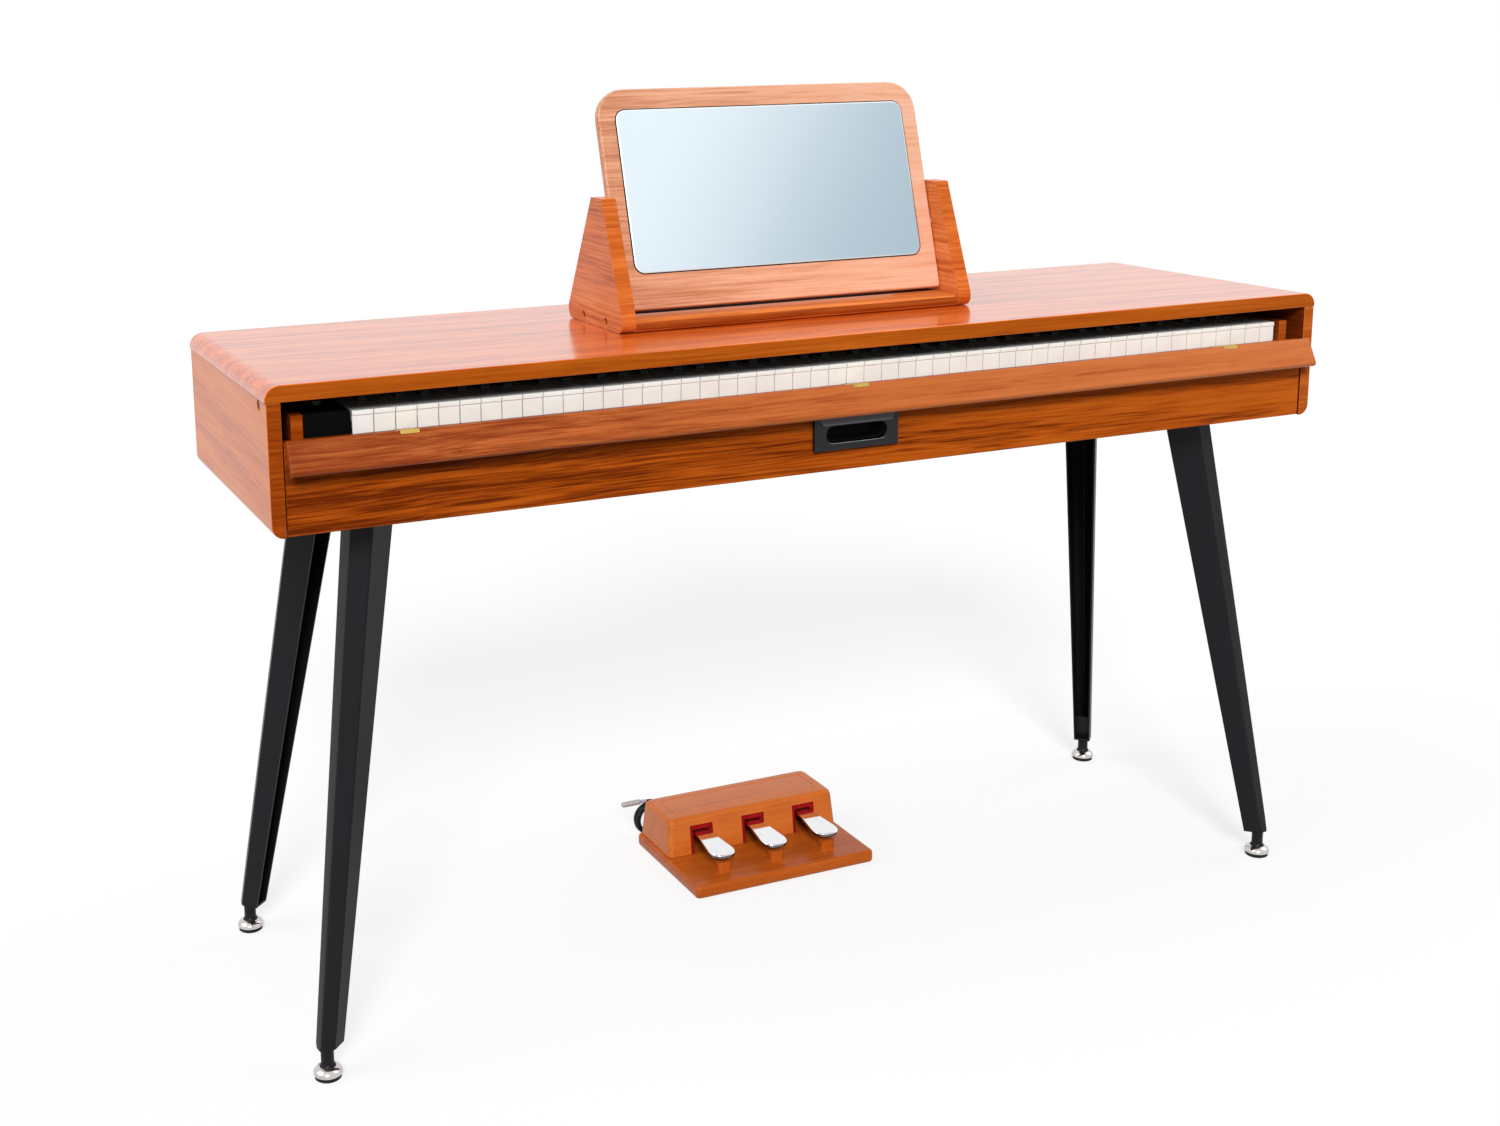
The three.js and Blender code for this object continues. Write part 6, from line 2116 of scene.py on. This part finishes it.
@dataclass(frozen=True)
class MirrorStand:
    """The brackets, base board, mirror board and glass."""

    lean: float = -16.56
    pivot: Place = (0.0, 2.95, 862.3)
    glass_half: float = 195.25
    glass_low: float = -41.7
    glass_high: float = 152.8
    glass_front: float = -7.3
    glass_back: float = -3.3
    corner: float = 12.5
    facet: float = 1.3
    facet_drop: float = 0.3
    joint: float = 1.4
    screw_ys: tuple[float, float] = (-17.35, 47.65)
    screw_z: float = 770.8
    pocket_radius: float = 5.2
    pocket_depth: float = 3.0
    shade_strip_front: float = -16.0
    shade_strip_back: float = 14.0
    shade_strip_thick: float = 0.4
    seal_front: float = -6.15
    seal_back: float = -5.4

    def leaning(self) -> Matrix:
        """Takes the mirror's own place, about the tilt pins, to its rest."""
        return moved(*self.pivot) @ Matrix.Rotation(math.radians(self.lean), 4, "X")

    def add_glass(self) -> None:
        """Adds the glass with its polished facet and the dark joint round it."""
        glass = rounded_box(
            "mirror_plate", (-self.glass_half, self.glass_front, self.glass_low),
            (self.glass_half, self.glass_back, self.glass_high), Axis.DEEP, self.corner, 10)
        with Bench(glass) as bench:
            bench.faces(lambda _, normal: normal.y < -0.9)
            bench.slide(0, self.facet_drop, 0)
            bench.inset(self.facet)
            bench.slide(0, -self.facet_drop, 0)
        only(glass)
        bpy.ops.object.shade_smooth_by_angle(angle=math.radians(5))
        place(glass, self.leaning())
        dress(glass, MIRROR, "mirror", "mirror_glass")
        glass.data.materials.append(GLASS_EDGE.material())
        plain = self.leaning().to_3x3() @ Vector((0, -1, 0))
        for polygon in glass.data.polygons:
            polygon.material_index = 0 if polygon.normal.dot(plain) > 0.9995 else 1
        seal = rounded_box(
            "mirror_joint",
            (-self.glass_half - self.joint, self.seal_front, self.glass_low - self.joint),
            (self.glass_half + self.joint, self.seal_back, self.glass_high + self.joint),
            Axis.DEEP, self.corner + self.joint, 10)
        hole = rounded_box(
            "joint_hole", (-self.glass_half + 0.1, -9, self.glass_low + 0.1),
            (self.glass_half - 0.1, 1, self.glass_high - 0.1), Axis.DEEP, self.corner, 10)
        cut_out(seal, hole)
        dress(finished(place(seal, self.leaning()), 0.0), SOCKET_BLACK, "mirror")

    def add_foot_shade_strip(self) -> None:
        """Adds a thin black strip on the base's top under the mirror board's foot, as painted
        shade in the gap.
        """
        low, high = extent("stand_base")
        felt = rounded_box("mirror_foot_shade_strip", (low.x + 3, self.shade_strip_front, high.z),
                           (high.x - 3, self.shade_strip_back, high.z + self.shade_strip_thick),
                           Axis.UPRIGHT, 1.5)
        dress(finished(felt, 0.15, 2), GAP_SHADE_STRIP, "cabinet")

    def add_brackets(self) -> None:
        """Adds both brackets, with a pocket round each of their screws."""
        places = []
        spots = [(y, self.screw_z) for y in self.screw_ys]
        for hand, sign in SIDES:
            low, high = extent(f"{hand}_stand_bracket")
            face = low.x if sign < 0 else high.x
            bracket = copy_of(f"{hand}_stand_bracket", f"{hand}_bracket_board")
            cut_pockets(bracket, face, sign, spots, self.pocket_radius, self.pocket_depth)
            Board(f"{hand}_stand_bracket", bracket.name, STAND_WOOD,
                  front_finish=BRACKET_EDGE).dressed(finished(bracket, 1.3))
            places += [moved(face - sign * self.pocket_depth, y, z)
                       @ toward(Axis.ACROSS, sign > 0) for y, z in spots]
        add_screws("bracket_screws", 3.6, 1.3, places, DARK_STEEL, "cabinet")

    def build(self) -> None:
        """Builds the mirror and its stand."""
        for board in (
            Board("stand_base", "stand_base_board", BASE_LIT_WOOD, 0.4, front_finish=BASE_SHADED_FRONT),
            Board("mirror_board", "mirror_backboard", BOARD_WOOD, 1.8, "mirror"),
        ):
            board.build()
        self.add_brackets()
        self.add_glass()
        self.add_foot_shade_strip()


# The pedal unit


@dataclass(frozen=True)
class PedalUnit:
    """The base, the box with its felt-lined slots and the three chrome pedals."""

    body: str = "cabinet"
    middles: tuple[float, float, float] = (-45.5, 32.5, 110.5)
    hub_y: float = 186.35
    hub_z: float = 47.5
    slope: float = 3.3
    thick: float = 5.5
    wide: float = 18.4
    narrow: float = 11.0
    hub_half: float = 12.0
    tip: float = -140.0
    shoulder: float = -127.0
    flare: float = -78.0
    groove_inset: float = 19.0
    groove: float = 1.0
    groove_depth: float = 0.9
    panel_front: float = 4.0
    panel_back: float = 2.0
    rim_turn: float = 0.3
    base_top: float = 17.5
    stop_span: tuple[float, float] = (48.0, 65.0)
    stop_corner: float = 4.5
    felt_way: float = 12.4
    felt_low: float = 48.7
    lining_half: float = 16.9
    lining_depth: float = 19.0
    lining_low: float = 17.4
    lining_high: float = 54.9
    lining_lean: float = 5.2
    edge_round: float = 1.5

    def add_base(self) -> None:
        """Adds the base with the upright corners of its stops rounded."""
        low_y, high_y = self.stop_span
        base = copy_of("pedal_base", "pedal_base_board")
        with Bench(base) as bench:
            bench.edges(lambda middle, run, _, out: (
                out and abs(run.z) > 0.95 * run.length and middle.z > mm(self.base_top)
                and mm(low_y) < middle.y < mm(high_y)))
            bench.bevel(self.stop_corner, 5)
        Board("pedal_base", base.name, PEDAL_BASE_WOOD).dressed(finished(base, 0.5, 3, 50))

    def add_box(self) -> None:
        """Adds the box with a groove round its top."""
        low, high = extent("pedal_box")
        shell = copy_of("pedal_box", "pedal_box_shell")
        corners = []
        for reach in (self.groove_inset, self.groove_inset + self.groove):
            corners.append(((low.x + reach, low.y + reach + self.panel_front),
                            (high.x - reach, high.y - reach - self.panel_back)))
        (near, far), (inner_near, inner_far) = corners
        outer = box("groove", (*near, high.z - self.groove_depth), (*far, high.z + 1))
        inner = box("panel", (*inner_near, high.z - 2), (*inner_far, high.z + 2))
        cut_out(outer, inner)
        cut_out(shell, outer)
        dress(finished(shell, 0.35, 2, 55), PEDAL_WOOD, self.body, "pedal_box")

    def add_felt(self) -> None:
        """Adds a felt frame in each slot, open below."""
        front = extent("pedal_box")[0].y
        frames = []
        for middle in self.middles:
            lining = box(
                f"lining_{middle:.0f}", (middle - self.lining_half, front + 0.2, self.lining_low),
                (middle + self.lining_half, front + self.lining_depth, self.lining_high))
            cut_out(lining, box("way", (middle - self.felt_way, front - 4, 10),
                                (middle + self.felt_way, front + 24, self.felt_low)))
            with Bench(lining) as bench:
                bench.points(lambda spot: spot.y < mm(front + 1) and spot.z > mm(40))
                bench.slide(0, self.lining_lean, 0)
            frames.append(lining)
        dress(finished(joined(frames, "slot_felt"), 0.5, 2), RED_FELT, self.body)

    def outline(self) -> list[tuple[float, float]]:
        """The pedal's outline from above, in millimetres about the hub: a fan with a low arch."""
        wide, narrow, tip, flare = self.wide, self.narrow, self.tip, self.flare
        spans = (
            ((narrow, flare + 16), (narrow, flare + 4), (narrow + 0.6, flare - 2),
             (narrow + 2.2, flare - 12)),
            ((wide - 1.3, self.shoulder + 9), (wide + 0.4, self.shoulder - 1),
             (wide - 2.0, tip + 4.2), (wide - 8.5, tip + 1.5)),
            ((wide - 8.5, tip + 1.5), (wide - 12, tip + 0.3), (4, tip), (0, tip)),
        )
        side = [(narrow, 2.5)]
        for span in spans:
            for step in range(9):
                share = step / 8
                weights = ((1 - share) ** 3, 3 * share * (1 - share) ** 2,
                           3 * share ** 2 * (1 - share), share ** 3)
                spot = tuple(sum(weight * point[axis] for weight, point in zip(weights, span))
                             for axis in (0, 1))
                if math.dist(spot, side[-1]) > 0.05:
                    side.append(spot)
        return side + [(-x, y) for x, y in reversed(side[:-1])]

    def add_pedals(self) -> None:
        """Adds the three pedals from one pattern."""
        curve = bpy.data.curves.new("pedal_outline", "CURVE")
        curve.dimensions = "2D"
        curve.fill_mode = "BOTH"
        curve.extrude = mm(self.thick / 2 - self.edge_round)
        curve.bevel_depth = mm(self.edge_round)
        curve.bevel_resolution = 4
        curve.offset = -mm(self.edge_round)
        points = self.outline()
        spline = curve.splines.new("POLY")
        spline.points.add(len(points) - 1)
        for point, (x, y) in zip(spline.points, points):
            point.co = (mm(x), mm(y), 0, 1)
        spline.use_cyclic_u = True
        only(linked("pedal_pattern", curve))
        bpy.ops.object.convert(target="MESH")
        plate = bpy.context.active_object
        with Bench(plate) as bench:
            bench.outward()
            bench.everything()
            bpy.ops.mesh.dissolve_limited(angle_limit=math.radians(0.5))
        hub = finished(rod("hub", 5.0, (-self.hub_half, 0, 0), 2 * self.hub_half,
                           Axis.ACROSS, 32), 0.4, 2)
        pattern = joined([finished(plate, 0.0, angle=50), hub], "pedal_pattern")
        for name, middle in zip(("left", "middle", "right"), self.middles):
            spot = moved(middle, self.hub_y, self.hub_z) @ Matrix.Rotation(
                math.radians(self.slope), 4, "X")
            pedal = twin(pattern, f"{name}_chrome_pedal", spot)
            dress(pedal, CHROME, f"{name}_pedal", f"{name}_pedal")
            # The rims take the dark chrome, a painted reflection.
            pedal.data.materials.append(CHROME_RIM_DARK_REFLECTION.material())
            for polygon in pedal.data.polygons:
                if (polygon.normal.z < self.rim_turn
                        and polygon.center.y < mm(self.hub_y + self.flare)):
                    polygon.material_index = 1
        bpy.data.objects.remove(pattern)

    def build(self) -> None:
        """Builds the pedal unit without its cord."""
        self.add_base()
        self.add_box()
        self.add_felt()
        self.add_pedals()


def main() -> None:
    """Builds the studio, the cord and then each sub-assembly."""
    logging.basicConfig(level=logging.INFO, format="%(message)s")
    for assembly in (
        Studio(), PedalCord(), Cabinet(), Legs(), Drawer(), Flap(), Keyboard(), MirrorStand(),
        PedalUnit(),
    ):
        assembly.build()


if __name__ == "__main__":
    main()
